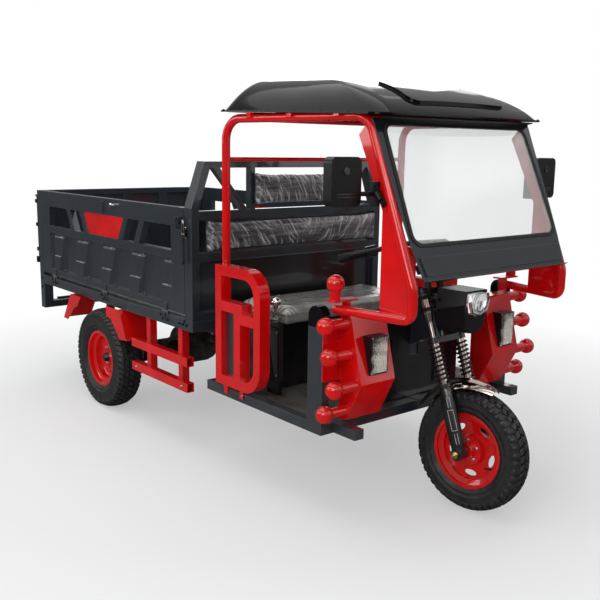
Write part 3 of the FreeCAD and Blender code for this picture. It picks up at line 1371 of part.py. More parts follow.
def front_panel():
    # the frame with its folded foot, a pressed step below the glass and tabs at the pillars
    fall = nose_fall()
    mid = (SEAL_T - NOSE_T) / 2
    half = NOSE_HALF - NOSE_LIP
    lip = box(mid, mid + NOSE_LIP, -NOSE_HALF, NOSE_HALF, -fall, -fall + NOSE_T)
    step = box(mid, mid + NOSE_LIP / 2, -half, half, -fall + NOSE_LIP, -SEAL_W - NOSE_LIP)
    hole = screen_plate(SEAT_GAP, SEAL_T * 3, SCREEN_CORNER + SEAL_W / 2)
    hole.translate(V(-SEAL_T - TAB_DEEP, 0, 0))
    shape = leaned(fuse([screen_frame(), lip, step] + screen_tabs()).cut(hole))
    foot, top = V(PILLAR_LOW_X, -PILLAR_Y, PILLAR_LOW_Z), V(PILLAR_TOP_X, -PILLAR_Y, CAB_TOP)
    pillar = rod(top, foot, TUBE_CAB_R + SEAT_GAP)
    return shape.cut(pillar).cut(left_of(pillar))


def screen_tabs():
    # lugs that lie against the pillars
    parts = []
    outer, inner = -PILLAR_Y, -NOSE_HALF + NOSE_LIP
    for share in TAB_SHARES:
        z = screen_length() * share
        tab = box(-TAB_DEEP, (SEAL_T + NOSE_T) / 2, outer, inner, z, z + TAB_H)
        parts += [tab, left_of(tab)]
    return parts


# Lamp boxes
def ball_peg(foot, centre):
    # a ball on a neck that widens towards its foot
    way = centre.sub(foot)
    neck = Part.makeCone(PEG_FOOT_R, PEG_R, way.Length, foot, way)
    return fuse([neck, ball(centre, BALL_R)])


def lamp_box():
    side = [(CAB_FRONT + SEAT_GAP, BOX_TOP), (BOX_TOP_X, BOX_TOP), (BOX_EDGE_X, BOX_EDGE_Z),
            (BOX_FOOT_X, BOX_FOOT_Z), (CAB_FRONT + SEAT_GAP, BOX_FOOT_Z)]
    shape = side_prism(side, -BOX_OUT, -BOX_IN)
    w = BOX_WALL
    inner = [(CAB_FRONT - w, BOX_TOP - w), (BOX_TOP_X - w, BOX_TOP - w), (BOX_EDGE_X - w, BOX_EDGE_Z),
             (BOX_FOOT_X - w, BOX_FOOT_Z + w), (CAB_FRONT - w, BOX_FOOT_Z + w)]
    shape = shape.cut(side_prism(inner, -BOX_OUT + w, -BOX_IN - w))
    parts = [shape]
    places = [(CAB_FRONT + ahead, z) for ahead, z in PEG_PLACES]
    parts += [ball_peg(V(x, -BOX_OUT + w, z), V(x, -BALL_Y, z)) for x, z in places]
    plate_low = TOP_PLATE_Z - TOP_PLATE_T
    parts.append(box(TOP_PEG_X - TOP_PLATE_HALF, TOP_PEG_X + TOP_PLATE_HALF,
                     -TOP_PEG_Y - TOP_PLATE_HALF, -BOX_OUT + 2 * TOP_PLATE_HALF, plate_low, TOP_PLATE_Z))
    parts.append(ball_peg(V(TOP_PEG_X, -TOP_PEG_Y, plate_low), V(TOP_PEG_X, -TOP_PEG_Y, TOP_BALL_Z)))
    parts.append(box(TOP_PEG_X - TOP_PLATE_HALF, TOP_PEG_X + TOP_PLATE_HALF, -BOX_OUT + w,
                     -BOX_OUT + 2 * w, BOX_TOP - w, TOP_PLATE_Z))
    parts.append(bracket_foot())
    return fuse(parts)


def bracket_foot():
    # a tongue from the box back to the front post
    return box(CAB_FRONT + SEAT_GAP, CAB_FRONT + SEAT_GAP + BOX_WALL, -SILL_HALF, -BOX_OUT + BOX_WALL,
               BOX_EDGE_Z, BOX_TOP - 2 * BOX_WALL)


def box_front_x(z):
    share = (BOX_TOP - z) / (BOX_TOP - BOX_EDGE_Z)
    return BOX_TOP_X + (BOX_EDGE_X - BOX_TOP_X) * share


def box_lamp():
    y0 = -(BOX_IN + BOX_OUT) / 2 - BOXLAMP_HALF
    y1 = y0 + 2 * BOXLAMP_HALF
    low, high = BOXLAMP_LOW, BOXLAMP_HIGH
    points = [(box_front_x(low) + SEAT_GAP, low), (box_front_x(low) + BOXLAMP_OUT, low),
              (box_front_x(low) + BOXLAMP_OUT, high), (box_front_x(high) + SEAT_GAP, high)]
    return side_prism(points, y0, y1)


# Leg guards
def d_outline(inset):
    r = DGUARD_ROUND - inset
    x0, x1 = DGUARD_REAR + inset, DGUARD_FRONT - inset
    z0, z1 = DGUARD_LOW + inset, DGUARD_HIGH - inset
    y = -DGUARD_OUT
    diag = r * (1 - math.sqrt(0.5))
    edges = [Part.makeLine(V(x0, y, z0), V(x1 - r, y, z0)),
             Part.Arc(V(x1 - r, y, z0), V(x1 - diag, y, z0 + diag), V(x1, y, z0 + r)).toShape(),
             Part.makeLine(V(x1, y, z0 + r), V(x1, y, z1 - r)),
             Part.Arc(V(x1, y, z1 - r), V(x1 - diag, y, z1 - diag), V(x1 - r, y, z1)).toShape(),
             Part.makeLine(V(x1 - r, y, z1), V(x0, y, z1)),
             Part.makeLine(V(x0, y, z1), V(x0, y, z0))]
    return Part.Face(Part.Wire(edges)).extrude(V(0, DGUARD_DEEP, 0))


def d_guard():
    frame = d_outline(0.0).cut(d_outline(DGUARD_BAR))
    y0, y1 = -DGUARD_OUT, -DGUARD_OUT + DGUARD_DEEP
    half = DGUARD_BAR / 2
    mid = box(DGUARD_MID_X - half, DGUARD_MID_X + half, y0, y1, DGUARD_LOW + half, DGUARD_LEFT_Z - half)
    left = box(DGUARD_REAR + half, DGUARD_MID_X + 1.6 * half, y0, y1, DGUARD_LEFT_Z - half,
               DGUARD_LEFT_Z + half)
    right = box(DGUARD_MID_X - half, DGUARD_FRONT - half, y0, y1, DGUARD_RIGHT_Z - half,
                DGUARD_RIGHT_Z + half)
    parts = [frame, mid, left, right]
    for share in LUG_SHARES:
        x = DGUARD_REAR + (DGUARD_FRONT - DGUARD_REAR) * share
        parts.append(box(x, x + LUG_W, -SILL_HALF - LUG_T - SEAT_GAP, -SILL_HALF - SEAT_GAP, LUG_LOW,
                         DGUARD_LOW + half))
    clip = box(CAB_POST_X, DGUARD_REAR + half, -CAB_POST_Y - TUBE_CAB_R - SEAT_GAP - LUG_T,
               -CAB_POST_Y - TUBE_CAB_R - SEAT_GAP, DGUARD_HIGH - LUG_W - half, DGUARD_HIGH - half)
    parts.append(clip)
    return fuse(parts)


def cell_panel():
    half = DGUARD_BAR / 2
    x0, x1 = DGUARD_REAR + DGUARD_BAR + SEAT_GAP, DGUARD_MID_X - half - SEAT_GAP
    z0, z1 = DGUARD_LOW + DGUARD_BAR + SEAT_GAP, DGUARD_LEFT_Z - half - SEAT_GAP
    y = -DGUARD_OUT + DGUARD_DEEP / 2
    return box(x0, x1, y, y + CELL_PANEL_T, z0, z1)


# Side guards, mudguards, mirrors, rear lamps
def side_guard():
    out = -BED_HALF
    parts = []
    for z in (RAILG_HIGH_Z, RAILG_LOW_Z):
        rail = box(RAILG_REAR, RAILG_FRONT, out, out + RAILG_D, z - RAILG_H / 2, z + RAILG_H / 2)
        w = RAILG_WALL
        hollow = box(RAILG_REAR - CUT_MARGIN, RAILG_FRONT + CUT_MARGIN, out + w, out + RAILG_D - w,
                     z - RAILG_H / 2 + w, z + RAILG_H / 2 - w)
        parts.append(rail.cut(hollow))
    for share in UPRIGHT_SHARES:
        x = RAILG_REAR + (RAILG_FRONT - RAILG_REAR) * share
        parts.append(box(x, x + UPRIGHT_W, out + RAILG_D, out + RAILG_D + UPRIGHT_W,
                         RAILG_LOW_Z - RAILG_H / 2, RAIL_TOP - SEAT_GAP))
    return fuse(parts)


def mudguard():
    out, inn = -MUD_OUT, -MUD_IN
    parts = []
    low_trim = RAIL_TOP - SEAT_GAP
    for outline, edge in ((MUD_FRONT, (1, 2)), (MUD_REAR, (0, 5))):
        flange = side_prism([(x, min(z, low_trim)) for x, z in outline], out, out + MUD_T)
        (ax, az), (bx, bz) = outline[edge[0]], outline[edge[1]]
        az = min(az, low_trim)
        inward = -MUD_T if edge == (1, 2) else MUD_T
        sheet = side_prism([(ax, az), (bx, bz), (bx + inward, bz), (ax + inward, az)], out, inn)
        tab_x = ax + 8 * inward
        tab = box(min(ax, tab_x), max(ax, tab_x), out, -BED_HALF + BEAM_W, low_trim - MUD_T, low_trim)
        parts.append(fuse([flange, sheet, tab]))
    return Part.makeCompound(parts)


def mirror_body():
    x, y, z = MIRROR_X, -MIRROR_Y, MIRROR_Z
    shell = box(x - MIRROR_T / 2, x + MIRROR_T / 2, y - MIRROR_W / 2, y + MIRROR_W / 2,
                z - MIRROR_H / 2, z + MIRROR_H / 2)
    return shell.makeFillet(MIRROR_T / 2, edges_along(shell, X))


def mirror_arm():
    x, y, z = MIRROR_X, -MIRROR_Y + MIRROR_W / 2, MIRROR_Z - MIRROR_H / 4
    share = (CAB_TOP - z - MIRROR_T) / (CAB_TOP - PILLAR_LOW_Z)
    pillar_x = PILLAR_TOP_X + (PILLAR_LOW_X - PILLAR_TOP_X) * share
    end = V(pillar_x - TUBE_CAB_R - MIRROR_ARM_R, -PILLAR_Y, z)
    start = V(x, y - MIRROR_T, z)
    base = box(end.x - MIRROR_T, end.x, -PILLAR_Y - PILLAR_PLATE_T / 2 - SEAT_GAP - MIRROR_ARM_R,
               -PILLAR_Y - PILLAR_PLATE_T / 2 - SEAT_GAP, z - MIRROR_T, z + MIRROR_T)
    arm_end = V(end.x - MIRROR_T / 2, -PILLAR_Y - PILLAR_PLATE_T, z)
    arm = rod(start, arm_end, MIRROR_ARM_R)
    return [base, arm]


def mirror():
    base, arm = mirror_arm()
    shape = fuse([mirror_body(), base, arm])
    keep_off = box(0, 2 * CAB_FRONT, -PILLAR_Y - PILLAR_PLATE_T / 2 - SEAT_GAP, PILLAR_Y, 0,
                   2 * CAB_TOP)
    return shape.cut(keep_off)


def tail_lamp():
    x1 = BED_REAR - SEAT_GAP
    z = CORNER_LOW + LOW_BAR_H / 2
    return box(x1 - TAIL_T, x1, -TAIL_Y - TAIL_W / 2, -TAIL_Y + TAIL_W / 2, z - TAIL_H / 2,
               z + TAIL_H / 2)


def controls():
    floor = SILL_LOW + SILL_H + SEAT_GAP
    pedal_low = V(PEDAL_X + PEDAL_L / 2, -PEDAL_Y, floor)
    arm = rod(pedal_low, V(PEDAL_X, -PEDAL_Y, floor + PEDAL_H), HANDLE_R)
    pad_plate = box(PEDAL_X - PEDAL_L / 2, PEDAL_X + PEDAL_L / 2, -PEDAL_Y - PEDAL_W / 2,
                    -PEDAL_Y + PEDAL_W / 2, floor + PEDAL_H, floor + PEDAL_H + HANDLE_R)
    foot = box(PEDAL_X, PEDAL_X + PEDAL_L, -PEDAL_Y - PEDAL_W / 2, -PEDAL_Y + PEDAL_W / 2, floor,
               floor + HANDLE_R)
    handle = rod(V(HANDLE_X, -HANDLE_Y, floor), V(HANDLE_X - HANDLE_H / 4, -HANDLE_Y, floor + HANDLE_H),
                 HANDLE_R)
    knob = ball(V(HANDLE_X - HANDLE_H / 4, -HANDLE_Y, floor + HANDLE_H), 2 * HANDLE_R)
    base = box(HANDLE_X - PEDAL_L / 2, HANDLE_X + PEDAL_L / 2, -HANDLE_Y - HANDLE_R,
               -HANDLE_Y + HANDLE_R, floor, floor + PEDAL_W)
    slab = box(0, 2 * CAB_FRONT, -SILL_HALF, SILL_HALF, 0, floor)
    pedal = fuse([arm, pad_plate, foot]).cut(slab)
    return Part.makeCompound([pedal, fuse([handle, knob, base]).cut(slab)])


def post_cap():
    # half-round cap over the top of a front post
    x = CAB_FRONT - POST_FRONT_W / 2
    y0 = -SILL_HALF
    base = box(x - CAP_R, x + CAP_R, y0, y0 + POST_FRONT_T, POST_FRONT_TOP + SEAT_GAP,
               POST_FRONT_TOP + CAP_R)
    crown = rod(V(x, y0, POST_FRONT_TOP + CAP_R), V(x, y0 + POST_FRONT_T, POST_FRONT_TOP + CAP_R),
                CAP_R)
    return fuse([base, crown])


def rear_wheel_centre(side):
    return V(0, side * TRACK_HALF, REAR_TYRE_R)


def nodes():
    shapes = {}
    shapes["chassis_frame"] = chassis_frame()
    shapes["floor_plate"] = floor_plate()
    shapes["leg_shield"] = leg_shield()
    shapes["rear_axle"] = rear_axle()
    shapes["leaf_springs"] = leaf_springs()
    shapes["engine_block"] = engine_block()
    shapes["bed_frame"] = whole_bed_frame()
    shapes["bed_floor"] = bed_floor()
    shapes["side_panel_right"] = side_panel_right()
    shapes["side_panel_left"] = left_of(side_panel_right())
    shapes["side_trim_right"] = side_trim()
    shapes["side_trim_left"] = left_of(side_trim())
    shapes["tailgate"] = tailgate()
    shapes["headboard"] = headboard()
    shapes["seat_base"] = Part.makeCompound([seat_box(), seat_back_panel()])
    shapes["seat_cushion"] = seat_cushion()
    shapes["backrest_pads"] = backrest_pads()
    shapes["cab_frame"] = cab_frame()
    shapes["roof"] = roof()
    shapes["windscreen_glass"] = windscreen_glass()
    shapes["windscreen_seal"] = windscreen_seal()
    shapes["front_panel"] = front_panel()
    shapes["lamp_boxes"] = both(lamp_box())
    shapes["box_lamps"] = both(box_lamp())
    shapes["guard_panels"] = both(cell_panel())
    shapes["side_guards"] = both(Part.makeCompound([d_guard(), side_guard()]))
    shapes["mudguards"] = both(mudguard())
    shapes["mirrors"] = both(mirror())
    shapes["tail_lamps"] = both(tail_lamp())
    shapes["controls"] = controls()
    shapes["post_caps"] = both(post_cap())
    shapes["fork_crown"] = fork_crown()
    shapes["fork_tubes"] = fork_tubes()
    shapes["fork_legs"] = fork_legs()
    shapes["handlebar"] = handlebar()
    shapes["grips"] = grips()
    shapes["front_mudguard"] = front_mudguard()
    shapes["headlamp_cowl"] = headlamp_cowl()
    shapes["headlamp"] = headlamp()
    shapes["front_tyre"] = steered(raked(tyre_shape(FRONT_TYRE_R, FRONT_TYRE_HALF, FRONT_RIM_HALF,
                                                    ORIGIN)))
    shapes["front_rim"] = steered(raked(front_rim(ORIGIN)))
    shapes["rear_tyre_left"] = tyre_shape(REAR_TYRE_R, REAR_TYRE_HALF, RIM_HALF, rear_wheel_centre(1))
    shapes["rear_rim_left"] = rear_rim(rear_wheel_centre(1))
    shapes["rear_tyre_right"] = left_of(shapes["rear_tyre_left"])
    shapes["rear_rim_right"] = left_of(shapes["rear_rim_left"])
    return shapes


def export():
    os.makedirs("parts", exist_ok=True)
    for name, shape in nodes().items():
        placed = shape.copy()
        placed.translate(V(REAR_AXLE_X, 0, 0))
        placed.exportStep("parts/" + name + ".step")


export()
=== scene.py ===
import json
import math
import random

import bmesh
import bpy
from mathutils import Matrix, Vector, noise
from mathutils.bvhtree import BVHTree


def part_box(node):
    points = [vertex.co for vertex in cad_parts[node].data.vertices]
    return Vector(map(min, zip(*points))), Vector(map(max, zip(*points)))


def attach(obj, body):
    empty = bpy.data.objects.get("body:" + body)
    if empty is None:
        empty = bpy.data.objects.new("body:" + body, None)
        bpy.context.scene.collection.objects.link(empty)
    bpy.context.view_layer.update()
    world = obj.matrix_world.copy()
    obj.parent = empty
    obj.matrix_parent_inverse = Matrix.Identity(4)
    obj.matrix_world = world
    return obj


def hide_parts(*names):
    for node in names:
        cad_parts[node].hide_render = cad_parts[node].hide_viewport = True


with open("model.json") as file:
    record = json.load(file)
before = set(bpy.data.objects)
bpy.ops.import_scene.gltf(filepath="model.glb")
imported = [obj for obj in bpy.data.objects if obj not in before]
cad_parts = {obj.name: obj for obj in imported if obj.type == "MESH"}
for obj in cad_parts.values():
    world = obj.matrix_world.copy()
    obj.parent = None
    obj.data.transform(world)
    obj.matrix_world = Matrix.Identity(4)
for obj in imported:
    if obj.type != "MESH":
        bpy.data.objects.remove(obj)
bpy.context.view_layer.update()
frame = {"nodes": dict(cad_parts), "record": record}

nodes = frame["nodes"]

# Camera
# It stands at the vehicle's front right, at about eye height, with a slight roll.
# Its place and lens come from the fit to the wheels and the frame.
azimuth, pitch, roll = math.radians(50.5), math.radians(10.5), math.radians(0.8)
back = Vector((math.sin(azimuth) * math.cos(pitch), -math.cos(azimuth) * math.cos(pitch), math.sin(pitch)))
level = Vector((0, 0, 1)).cross(back).normalized()
right = level * math.cos(roll) + back.cross(level) * math.sin(roll)
camera_data = bpy.data.cameras.new("camera")
camera_data.sensor_width = 36.0
picture_widths = 816.8 / 600  # focal length, in widths of the picture
camera_data.lens = picture_widths * camera_data.sensor_width
camera = bpy.data.objects.new("camera", camera_data)
bpy.context.collection.objects.link(camera)
axes = Matrix((right, back.cross(right), back)).transposed()
camera.matrix_world = Matrix.Translation((3.4988, -2.6644, 1.5039)) @ axes.to_4x4()
bpy.context.scene.camera = camera


# Studio
# A pale floor runs far out and fades into a white surround. A wide soft light hangs overhead and
# two smaller ones stand at the right front and behind, so that gloss paint shows clean highlights.
def node(tree, kind, given=None, **settings):
    # one shader node; each input is given a value, a colour or another node's output
    made = tree.nodes.new("ShaderNode" + kind)
    for setting, value in settings.items():
        setattr(made, setting, value)
    for socket, value in (given or {}).items():
        if isinstance(value, bpy.types.NodeSocket):
            tree.links.new(value, made.inputs[socket])
            continue
        lacks_alpha = isinstance(value, tuple) and len(value) < len(made.inputs[socket].default_value)
        made.inputs[socket].default_value = (*value, 1.0) if lacks_alpha else value
    return made


def ramp(tree, value, start, end, low, high):
    # a value that runs from start to end comes out as low to high
    return node(tree, "MapRange", {0: value, 1: start, 2: end, 3: low, 4: high}).outputs[0]


def combine(tree, operation, first, second, **settings):
    return node(tree, "Math", {0: first, 1: second}, operation=operation, **settings).outputs[0]


def blend(tree, share, first, second):
    return node(tree, "Mix", {"Factor": share, "A": first, "B": second}, data_type="RGBA").outputs["Result"]


def ray_kinds(tree):
    # whether the camera sees it, straight or through glass, and whether a glossy face does
    path = node(tree, "LightPath").outputs
    return combine(tree, "MAXIMUM", path["Is Camera Ray"], path["Is Transmission Ray"]), path["Is Glossy Ray"]


def new_material(name):
    material = bpy.data.materials.new(name)
    material.use_nodes = True
    tree = material.node_tree
    tree.nodes.clear()
    return material, tree


bpy.context.scene.view_settings.view_transform = "Standard"
world = bpy.data.worlds.new("surround")
bpy.context.scene.world = world
world.use_nodes = True
tree = world.node_tree
tree.nodes.clear()
direction = node(tree, "TexCoord").outputs["Generated"]


def toward(way):
    return node(tree, "VectorMath", {0: direction, 1: way}, operation="DOT_PRODUCT").outputs["Value"]


# glossy faces see a brighter sky overhead, two broken cards and a strip light
height = node(tree, "SeparateXYZ", {0: direction}).outputs["Z"]
strength = ramp(tree, height, -0.1, 0.75, 0.05, 0.85)
for way, edges, scale, detail, spots in (
        ((-0.77, 0.64, 0.0), (0.45, 0.85, 0.0, 0.8), 5.5, 2.0, (0.54, 0.585, 0.10, 1.9)),
        ((0.72, 0.62, 0.31), (0.80, 0.95, 0.0, 1.0), 5.0, 1.0, (0.50, 0.58, 0.25, 1.9))):
    cloud = node(tree, "TexNoise", {"Scale": scale, "Detail": detail, "Vector": direction}).outputs["Fac"]
    card = combine(tree, "MULTIPLY", ramp(tree, toward(way), *edges), ramp(tree, cloud, *spots))
    strength = combine(tree, "MAXIMUM", strength, card)
strip = node(tree, "Math", {0: height, 1: 0.55, 2: 0.028}, operation="COMPARE").outputs[0]
strip = combine(tree, "MULTIPLY", strip, ramp(tree, toward((0.45, -0.89, 0.0)), 0.25, 0.40, 0.0, 6.0))
strength = combine(tree, "MAXIMUM", strength, strip)
seen, glossy = ray_kinds(tree)
shade = node(tree, "Background", {"Color": (0.93, 0.96, 1.0), "Strength": 0.40})
sky = node(tree, "Background", {"Color": (1.0, 1.0, 1.0), "Strength": strength})
gloss = node(tree, "MixShader", {0: glossy, 1: shade.outputs[0], 2: sky.outputs[0]})
white = node(tree, "Background", {"Color": (1.0, 1.0, 1.0), "Strength": 1.0})
mix = node(tree, "MixShader", {0: seen, 1: gloss.outputs[0], 2: white.outputs[0]})
node(tree, "OutputWorld", {0: mix.outputs[0]})

floor_material, tree = new_material("studio_floor")
far = node(tree, "VectorMath", {0: node(tree, "TexCoord").outputs["Object"]},
           operation="LENGTH").outputs["Value"]
seen, glossy = ray_kinds(tree)
fade = combine(tree, "MULTIPLY", ramp(tree, far, 1.6, 3.6, 0.42, 1.0), seen)
surface = node(tree, "BsdfDiffuse", {"Color": blend(tree, glossy, (0.86, 0.86, 0.86), (0.22, 0.22, 0.22))})
glow = node(tree, "Emission", {"Color": (1.0, 1.0, 1.0), "Strength": 1.0})
mix = node(tree, "MixShader", {0: fade, 1: surface.outputs[0], 2: glow.outputs[0]})
node(tree, "OutputMaterial", {0: mix.outputs[0]})
bm = bmesh.new()
bmesh.ops.create_grid(bm, x_segments=1, y_segments=1, size=40.0)
mesh = bpy.data.meshes.new("studio_floor")
bm.to_mesh(mesh)
bm.free()
mesh.materials.append(floor_material)
floor = bpy.data.objects.new("studio_floor", mesh)
bpy.context.collection.objects.link(floor)

for name, place, target, size, power in (
        ("overhead", (0.0, -0.5, 4.6), (0.0, 0.0, 0.5), (5.0, 4.0), 92.0),
        ("front_right", (3.2, -4.4, 2.6), (0.2, 0.0, 0.8), (2.4, 2.0), 62.0),
        ("left_rear", (-3.6, 4.0, 3.0), (0.0, 0.0, 0.8), (2.6, 2.0), 40.0),
        ("side", (-2.6, -4.6, 2.4), (-0.4, 0.0, 0.7), (2.4, 1.8), 46.0)):
    light_data = bpy.data.lights.new(name, "AREA")
    light_data.shape = "RECTANGLE"
    light_data.size, light_data.size_y = size
    light_data.energy = power
    light = bpy.data.objects.new(name, light_data)
    bpy.context.collection.objects.link(light)
    aim = (Vector(place) - Vector(target)).to_track_quat("Z", "Y")
    light.matrix_world = Matrix.Translation(place) @ aim.to_matrix().to_4x4()


# Painted steel
# Every steel piece is sprayed: gloss red on the cab and guards, a dark blue-grey on the bed and frame,
# black inside. Edges are lighter, partly worn and partly a painted highlight, and dust lies on what faces up.
def new_group(name, inputs, outputs):
    group = bpy.data.node_groups.new(name, "ShaderNodeTree")
    for label, kind, value in inputs:
        socket = group.interface.new_socket(label, in_out="INPUT", socket_type="NodeSocket" + kind)
        if value is not None:
            socket.default_value = value
    for label, kind in outputs:
        group.interface.new_socket(label, in_out="OUTPUT", socket_type="NodeSocket" + kind)
    return group, group.nodes.new("NodeGroupInput"), group.nodes.new("NodeGroupOutput")


def place_group(tree, group, given=None):
    return node(tree, "Group", given, node_tree=group)


def speckle(tree, scale, detail, **more):
    # cloudy noise laid over the piece in its own coordinates
    given = {"Scale": scale, "Detail": detail, "Vector": node(tree, "TexCoord").outputs["Object"], **more}
    return node(tree, "TexNoise", given).outputs["Fac"]


def bumped(tree, height, strength, distance, normal=None):
    given = {"Height": height, "Strength": strength, "Distance": distance}
    return node(tree, "Bump", given if normal is None else {**given, "Normal": normal}).outputs[0]


def principled(tree, given):
    node(tree, "OutputMaterial", {0: node(tree, "BsdfPrincipled", given).outputs[0]})


edge_group, enter, leave = new_group(
    "rounded_edges", [("Radius", "Float", 0.003), ("Width", "Float", 0.004), ("Breakup", "Float", 60.0)],
    [("Normal", "Vector"), ("Edge", "Float")])
rounded = node(edge_group, "Bevel", {"Radius": enter.outputs["Radius"]}, samples=4)
wide = node(edge_group, "Bevel", {"Radius": enter.outputs["Width"]}, samples=4)
flat = node(edge_group, "NewGeometry")
turn = node(edge_group, "VectorMath", {0: wide.outputs[0], 1: flat.outputs["True Normal"]},
            operation="DOT_PRODUCT")
mask = ramp(edge_group, turn.outputs["Value"], 0.995, 0.86, 0.0, 1.0)
patch = speckle(edge_group, enter.outputs["Breakup"], 3.0)
patch = ramp(edge_group, patch, 0.35, 0.6, 0.35, 1.0)
mask = combine(edge_group, "MULTIPLY", mask, patch)
edge_group.links.new(rounded.outputs[0], leave.inputs["Normal"])
edge_group.links.new(mask, leave.inputs["Edge"])

dust_group, enter, leave = new_group(
    "settled_dust", [("Scale", "Float", 9.0), ("Upward", "Float", 0.5), ("Low", "Float", 0.3)],
    [("Dust", "Float")])
coord = node(dust_group, "TexCoord")
shape = node(dust_group, "NewGeometry")
up = node(dust_group, "SeparateXYZ", {0: shape.outputs["Normal"]})
up = ramp(dust_group, up.outputs["Z"], 0.3, 1.0, 0.0, 1.0)
up = combine(dust_group, "MULTIPLY", up, enter.outputs["Upward"])
low = node(dust_group, "SeparateXYZ", {0: coord.outputs["Object"]})
low = ramp(dust_group, low.outputs["Z"], 0.75, 0.1, 0.0, 1.0)
low = combine(dust_group, "MULTIPLY", low, enter.outputs["Low"])
both = combine(dust_group, "ADD", up, low)
cloud = speckle(dust_group, enter.outputs["Scale"], 8.0, Roughness=0.62)
cloud = ramp(dust_group, cloud, 0.36, 0.68, 0.0, 1.0)
dust = combine(dust_group, "MULTIPLY", both, cloud, use_clamp=True)
dust_group.links.new(dust, leave.inputs["Dust"])

peel_group, enter, leave = new_group(
    "orange_peel", [("Scale", "Float", 400.0), ("Height", "Float", 0.0002), ("Normal", "Vector", None)],
    [("Normal", "Vector"), ("Waviness", "Float")])
fine = speckle(peel_group, enter.outputs["Scale"], 2.0)
slow = speckle(peel_group, 7.0, 2.0)
fine = combine(peel_group, "MULTIPLY", fine, 0.35)
slow_high = combine(peel_group, "MULTIPLY", slow, 9.0)
total = combine(peel_group, "ADD", fine, slow_high)
bump = node(peel_group, "Bump", {"Height": total, "Distance": enter.outputs["Height"],
                                 "Normal": enter.outputs["Normal"]})
peel_group.links.new(bump.outputs[0], leave.inputs["Normal"])
peel_group.links.new(slow, leave.inputs["Waviness"])


def sprayed_paint(name, colour, edge_wear_and_highlight_colour, roughness, dust, coat=1.0, shine=0.5):
    material, tree = new_material(name)
    edges = place_group(tree, edge_group, {"Radius": 0.003, "Width": 0.0048})
    skin = place_group(tree, peel_group, {"Height": 0.00012, "Normal": edges.outputs["Normal"]})
    settled = place_group(tree, dust_group, {"Upward": dust[0], "Low": dust[1]})
    tone = ramp(tree, skin.outputs["Waviness"], 0.3, 0.7, 0.86, 1.12)
    shade = node(tree, "VectorMath", {0: colour, "Scale": tone}, operation="SCALE")
    # edges take a lighter colour of the same paint: partly patchy wear, partly a painted highlight
    edge_wear_and_highlight = combine(tree, "MULTIPLY", edges.outputs["Edge"], 0.6)
    mixed = blend(tree, edge_wear_and_highlight, shade.outputs[0], edge_wear_and_highlight_colour)
    dusty = blend(tree, settled.outputs["Dust"], mixed, (0.30, 0.27, 0.23))
    rough = ramp(tree, settled.outputs["Dust"], 0.0, 0.7, roughness, min(0.85, roughness + 0.4))
    principled(tree, {"Coat Weight": coat, "Coat Roughness": 0.05, "Specular IOR Level": shine,
                      "Base Color": dusty, "Roughness": rough, "Normal": skin.outputs["Normal"]})
    return material


def dress(material, *names):
    for name in names:
        for slot in nodes[name].material_slots:
            slot.material = material


red_paint = sprayed_paint("red_paint", (0.72, 0.003, 0.004), (0.84, 0.03, 0.03), 0.18, dust=(0.02, 0.05),
                          shine=0.1)
grey_paint = sprayed_paint("blue_grey_paint", (0.019, 0.026, 0.034), (0.14, 0.18, 0.22), 0.30, coat=0.9,
                           dust=(0.10, 0.12))
black_paint = sprayed_paint("black_paint", (0.004, 0.004, 0.005), (0.04, 0.04, 0.04), 0.30, coat=0.5,
                            dust=(0.08, 0.10))
dress(red_paint, "cab_frame", "side_trim_right", "side_trim_left", "lamp_boxes", "side_guards", "mudguards",
      "front_rim", "rear_rim_left", "rear_rim_right")
dress(grey_paint, "chassis_frame", "bed_frame", "side_panel_right", "side_panel_left", "tailgate",
      "headboard", "front_panel")
dress(black_paint, "leg_shield", "engine_block", "seat_base", "fork_crown", "fork_legs", "handlebar")


# Worn and oily steel
# The load floor and the cab's floor plate are bare grey under mud and scuffs. The axle and its leaves
# are black steel with oil, dust and a little rust.
def worn_steel(name, colour, rust, mud, roughness, scale=6.0, metal=0.0):
    material, tree = new_material(name)
    coord = node(tree, "TexCoord")
    edges = place_group(tree, edge_group, {"Radius": 0.002, "Width": 0.004})
    settled = place_group(tree, dust_group, {"Scale": scale * 1.6, "Upward": 0.9, "Low": 0.5})
    blotch = speckle(tree, scale, 9.0, Roughness=0.66)
    amount = ramp(tree, blotch, 0.48, 0.66, 0.0, 1.0)
    stretch = node(tree, "Mapping", {"Scale": (14.0, 160.0, 60.0), "Vector": coord.outputs["Object"]})
    scratch = node(tree, "TexNoise", {"Scale": 1.0, "Detail": 4.0, "Vector": stretch.outputs[0]})
    line = ramp(tree, scratch.outputs["Fac"], 0.62, 0.7, 0.0, 0.5)
    first = blend(tree, amount, colour, rust)
    second = blend(tree, line, first, (0.22, 0.22, 0.22))
    third = blend(tree, settled.outputs["Dust"], second, mud)
    rough = ramp(tree, blotch, 0.3, 0.7, roughness, min(0.95, roughness + 0.35))
    bump = bumped(tree, blotch, 0.5, 0.0008, edges.outputs["Normal"])
    principled(tree, {"Metallic": metal, "Base Color": third, "Roughness": rough, "Normal": bump})
    return material


bed_plate = worn_steel("scuffed_bed_plate", (0.045, 0.050, 0.055), (0.10, 0.09, 0.08),
                       (0.20, 0.18, 0.15), 0.45)
mat_plate = worn_steel("muddy_floor_plate", (0.016, 0.016, 0.015), (0.040, 0.036, 0.030),
                       (0.075, 0.068, 0.056), 0.5, 9.0)
oily_steel = worn_steel("oily_black_steel", (0.012, 0.012, 0.013), (0.045, 0.028, 0.018),
                        (0.09, 0.075, 0.06), 0.35, 14.0)
leaf_steel = worn_steel("spring_leaf_steel", (0.05, 0.05, 0.052), (0.12, 0.075, 0.045), (0.14, 0.12, 0.10),
                        0.4, 22.0, 0.6)
dress(bed_plate, "bed_floor")
dress(mat_plate, "floor_plate")
dress(oily_steel, "rear_axle")
dress(leaf_steel, "leaf_springs")


